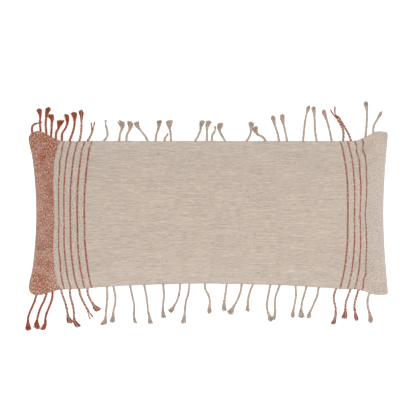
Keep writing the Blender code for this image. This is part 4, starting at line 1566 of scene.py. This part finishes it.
    def frayed(self, neck: Vector, along: Vector, cord: Cord) -> list[Strand]:
        """Fray a cord's end into its yarns.

        Args:
            neck: Where the tuft starts.
            along: The cord's direction there.
            cord: The cord.

        Returns:
            The yarns.
        """
        half_width, length, count, knotted = cord.tuft.value
        chance = random.Random(cord.seed * 31)
        half_width *= chance.uniform(*self.width_spread)
        length *= chance.uniform(*self.length_spread)
        ahead = Vector((along.x, along.y, 0.0)).normalized()
        level = ahead.cross(Vector((0.0, 0.0, 1.0)))
        lean = chance.uniform(-self.tuft_lean, self.tuft_lean)
        lean *= self.bud_lean_share if cord.tuft is Tuft.BUD else 1.0
        yarns = []
        for number in range(count):
            across, up, long = self.yarn(cord, chance, number, count)
            wave, turn = chance.uniform(*self.yarn_waves), chance.uniform(0.0, 6.28)
            material = cord.ply.value[1][1 if number % 4 == 3 else 0]
            points, radii = [], []
            for step in range(self.yarn_points):
                t = step / (self.yarn_points - 1)
                if cord.tuft is Tuft.BUD:
                    fan = 0.42 + 0.58 * min(1.0, t / 0.75) ** 1.5
                else:
                    fan = 0.20 + 0.80 * t**0.9
                side = across * half_width * fan + lean * length * t * t
                side += wave * math.sin(turn + 5.0 * t) * t
                height = (0.0010 + 0.0012 * math.sin(min(1.0, t * 1.4) * math.pi / 2)) * (1.0 + up)
                place = neck + ahead * length * long * t + level * side
                rest = self.yarn_radius + GAP
                settle = min(1.0, t * 2.5)
                start = neck.z + up * self.ply_offset
                place.z = max(rest, start * (1.0 - settle) + (rest + height) * settle)
                points.append(place)
                radii.append(self.yarn_radius * (1.0 - 0.45 * t**3))
            yarns.append(Strand(points, radii, material))
        if knotted:
            yarns += self.knot(Vector((neck.x, neck.y, max(neck.z, self.knot_rest))), along, cord)
        return yarns

    def build_cord(self, cord: Cord) -> tuple[float, Piece, Piece, list[Vector]]:
        """Make one cord and its tuft.

        Args:
            cord: The cord.

        Returns:
            The twisted length, the cord, the tuft, and the cord's path.
        """
        line = self.centre_line(cord)
        whole = self.runs(line)[-1]
        neck = whole - min(self.tuft_length, cord.tuft.value[1], whole * 0.45)
        count = max(12, int(neck / self.step))
        centre = self.resample(line, 0.0, neck, count)
        materials = [self.finishes.rust, self.finishes.cream]
        mesh = strand_mesh(cord.name, self.twisted(centre, cord))
        twisted = add_piece(cord.name + "_cord", mesh, materials)
        along = (centre[-1] - centre[-3]).normalized()
        mesh = strand_mesh(cord.name + "_t", self.frayed(centre[-1], along, cord), 1)
        tuft = add_piece(cord.name + "_tuft", mesh, materials)
        slot = cord.ply.value[0]
        dress(twisted, slot, *([cord.name] if cord.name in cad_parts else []))
        dress(tuft, slot)
        return neck, twisted, tuft, self.resample(line, 0.0, neck, self.path_points)

    def build(self) -> None:
        made = []
        for side, rows in ((Side.UPPER, UPPER_CORDS), (Side.LOWER, LOWER_CORDS)):
            for number, (ply, tuft, route) in enumerate(rows, 1):
                cord = Cord(number, side, ply, tuft, route)
                made.append((cord, *self.build_cord(cord)))
        made.sort(key=lambda entry: -entry[1])
        declared = made[: self.declared_most]
        for cord, length, piece, tuft, path in declared:
            tuple(path[0])
            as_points(path)
        LOG.info("fringe: %d cords, %d of them declared", len(made), len(declared))


# ---------------------------------------------------------------- the zip
@dataclass
class Zip:
    """The zip in the back panel's flank: its tapes, coils, thread tacks, slider and pull."""

    shape: StuffedShape
    finishes: Finishes
    half_length: float = 0.320
    closed_beyond: float = 0.015
    cloth: float = 0.0012
    tape_clearance: float = 0.0008
    tape_thickness: float = 0.0005
    tape_width: float = 0.0115
    tape_lean: float = math.radians(5.5)
    coil_radius: float = 0.0009
    coil_inner: float = 0.0008
    monofilament: float = 0.00030
    coil_pitch: float = 0.0015
    turn_points: int = 8
    tack_length: float = 0.0030
    tack_overhang: float = 0.0012
    tack_drop: float = 0.0016
    thread_radius: float = 0.00022
    thread_wraps: int = 9
    thread_points: int = 12

    @property
    def tape_top(self) -> float:
        """Height of the tape's outer face, out of the cloth."""
        return -(self.cloth + self.tape_clearance)

    @property
    def coil_centre(self) -> float:
        """Height of the coils' middle."""
        return self.tape_top + GAP + self.coil_radius

    def place(self) -> Matrix:
        """Return the zip's own frame: X along it, Y towards the seam and Z out of the cloth."""
        tilt = math.atan(self.shape.zip_slope)
        cos, sin = math.cos(tilt), math.sin(tilt)
        turn = Matrix(((1, 0, 0), (0, -cos, -sin), (0, sin, -cos))).to_4x4()
        return Matrix.Translation((0.0, -self.shape.zip_y, self.shape.zip_rise)) @ turn

    def seat(self, piece: Piece, node: str, slot: str) -> None:
        """Place a piece in the flank for a CAD node."""
        piece.data.transform(self.place())
        dress(piece, slot, node)

    def build_tape(self, name: str, sign: float) -> None:
        """Make one tape as a thin strip with a ribbed edge beside the coil.

        Args:
            name: Which half of the zip it belongs to.
            sign: 1 for the half nearer the seam and -1 for the other.
        """
        reach = self.half_length + self.closed_beyond / 2
        bm = bmesh.new()
        flat_map = bm.loops.layers.uv.new(FLAT_MAP)
        bmesh.ops.create_grid(bm, x_segments=160, y_segments=8, size=0.5)
        for vert in bm.verts:
            along, across = vert.co.x * 2 * reach, (vert.co.y + 0.5) * self.tape_width
            vert.co = Vector((along, sign * across, 0.0))
        for face in bm.faces:
            for loop in face.loops:
                loop[flat_map].uv = (loop.vert.co.x, loop.vert.co.y)
        lean = Matrix.Rotation(-sign * self.tape_lean, 4, "X")
        bmesh.ops.transform(bm, matrix=lean, verts=bm.verts)
        bmesh.ops.translate(bm, vec=(0.0, sign * self.coil_inner, self.tape_top), verts=bm.verts)
        if sign < 0:
            bmesh.ops.reverse_faces(bm, faces=bm.faces)
        mesh = finish_mesh(bm, f"zip_{name}_tape")
        tape = add_piece(mesh.name, mesh, [self.finishes.tape])
        self.seat(tape, f"zip_tape_{name}", "zip_tape")
        thicken(tape, self.tape_thickness)
        2 * reach

    def build_coil(self, name: str, sign: float) -> None:
        """Wind one half's monofilament coil."""
        turns = int(2 * self.half_length / self.coil_pitch)
        reach = self.coil_radius - self.monofilament
        points = []
        for step in range(turns * self.turn_points + 1):
            turn = 2.0 * math.pi * step / self.turn_points
            x = -self.half_length + self.monofilament + step * self.coil_pitch / self.turn_points
            y = sign * (self.coil_inner + self.coil_radius) + reach * math.cos(turn) * sign
            points.append(Vector((x, y, self.coil_centre + reach * math.sin(turn))))
        coil = [Strand(points, [self.monofilament] * len(points))]
        piece = add_piece(f"zip_{name}_coil", strand_mesh("coil", coil, 0), [self.finishes.nylon])
        self.seat(piece, f"zip_coil_{name}", "zip_coil")

    def build_tack(self, name: str, sign: float) -> None:
        """Stitch the thread tack that closes one end of the zip."""
        middle = sign * (self.half_length - self.tack_length / 2)
        width = self.coil_inner + 2 * self.coil_radius + self.tack_overhang
        top = self.coil_centre + self.coil_radius + GAP + self.thread_radius
        wraps = []
        for wrap in range(self.thread_wraps):
            x = middle + self.tack_length * ((wrap + 0.5) / self.thread_wraps - 0.5)
            points = []
            for step in range(self.thread_points + 1):
                turn = math.pi * step / self.thread_points
                drop = self.tack_drop * (1.0 - math.sin(turn)) ** 2
                points.append(Vector((x, -width * math.cos(turn), top - drop)))
            wraps.append(Strand(points, [self.thread_radius] * len(points)))
        piece = add_piece(f"zip_{name}_tack", strand_mesh("tack", wraps, 1), [self.finishes.thread])
        self.seat(piece, f"zip_tack_{name}", "sewing_thread")

    def build(self) -> None:
        """Make the zip, and give the slider and its pull their metal."""
        for name, sign in (("upper", -1.0), ("lower", 1.0)):
            self.build_tape(name, sign)
            self.build_coil(name, sign)
        for name, sign in (("left", -1.0), ("right", 1.0)):
            self.build_tack(name, sign)
        for node in ("zip_slider", "zip_pull"):
            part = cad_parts[node]
            part.data.materials.clear()
            part.data.materials.append(self.finishes.brass)
        LOG.info("zip: tapes, coils, tacks, slider and pull")


# ---------------------------------------------------------------- the room
@dataclass
class Studio:
    """A pale floor, soft light and a camera straight above the pillow."""

    floor_size: float = 6.0
    floor_level: float = -0.0006
    floor_glow: float = 0.45
    camera_height: float = 1.70
    aim: tuple[float, float] = (-0.0015, 0.0131)
    frame_width: float = 1.0317
    frame_level: float = 0.045
    sensor: float = 36.0
    world_strength: float = 0.60
    key_power: float = 31.0
    key_size: float = 2.2
    key_place: tuple[float, float, float] = (0.30, -0.25, 2.5)
    key_aim: tuple[float, float, float] = (0.0, 0.0, 0.1)

    def build_floor(self) -> None:
        """Lay the floor."""
        bm = bmesh.new()
        bmesh.ops.create_grid(bm, x_segments=4, y_segments=4, size=self.floor_size / 2)
        bmesh.ops.translate(bm, vec=(0.0, 0.0, self.floor_level), verts=bm.verts)
        mesh = finish_mesh(bm, "floor")
        floor = bpy.data.objects.new("floor", mesh)
        bpy.context.scene.collection.objects.link(floor)
        glow = {"Emission_Color": (1.0, 1.0, 1.0, 1.0), "Emission_Strength": self.floor_glow}
        shader = Shader("pale_floor", Roughness=0.9, Base_Color=(0.95, 0.95, 0.95, 1.0), **glow)
        mesh.materials.append(shader.material)
        floor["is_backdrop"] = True

    def build_lights(self) -> None:
        """Hang one broad soft light, and light the room evenly."""
        world = bpy.data.worlds.new("even_light")
        world.use_nodes = True
        sky = world.node_tree.nodes["Background"]
        sky.inputs["Color"].default_value = (1.0, 1.0, 1.0, 1.0)
        sky.inputs["Strength"].default_value = self.world_strength
        bpy.context.scene.world = world
        light = bpy.data.lights.new("key", "AREA")
        light.size = self.key_size
        light.energy = self.key_power
        key = bpy.data.objects.new("key", light)
        key.location = self.key_place
        key.rotation_euler = (Vector(self.key_aim) - key.location).to_track_quat("-Z", "Y").to_euler()
        bpy.context.scene.collection.objects.link(key)

    def build_camera(self) -> None:
        """Set the camera straight above, framing the pillow and its fringe."""
        lens = bpy.data.cameras.new("camera")
        lens.sensor_width = self.sensor
        lens.lens = self.sensor * self.camera_height / self.frame_width
        lens.clip_end = 50.0
        camera = bpy.data.objects.new("camera", lens)
        camera.location = (self.aim[0], self.aim[1], self.frame_level + self.camera_height)
        bpy.context.scene.collection.objects.link(camera)
        bpy.context.scene.camera = camera
        bpy.context.scene.view_settings.view_transform = "Standard"

    def build(self) -> None:
        """Set up the room."""
        self.build_floor()
        self.build_lights()
        self.build_camera()
        LOG.info("room: floor, light and camera")


def write_sizes() -> None:
    """Log the CAD model's box and the visual model's box."""
    boxes = {"cad": CAD_BOX, "visual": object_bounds()}
    plain = {name: [[float(part) for part in corner] for corner in box] for name, box in boxes.items()}
    LOG.info("sizes: %s", plain)


def main() -> None:
    """Build the pillow from the room inwards."""
    logging.basicConfig(level=logging.INFO, format="%(name)s: %(message)s")
    Studio().build()
    _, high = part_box("front_panel")
    shape = StuffedShape(float(high[0]), float(high[1]), float(high[2]))
    finishes = Finishes(shape.flat_half_length, shape.flat_half_width)
    Fringe(shape, finishes).build()
    cover = Cover(shape, finishes)
    front, pieces = cover.build()
    insert = Insert(shape, front, finishes).build()
    cover.declare(pieces, insert[0])
    Zip(shape, finishes).build()
    write_sizes()


if __name__ == "__main__":
    main()
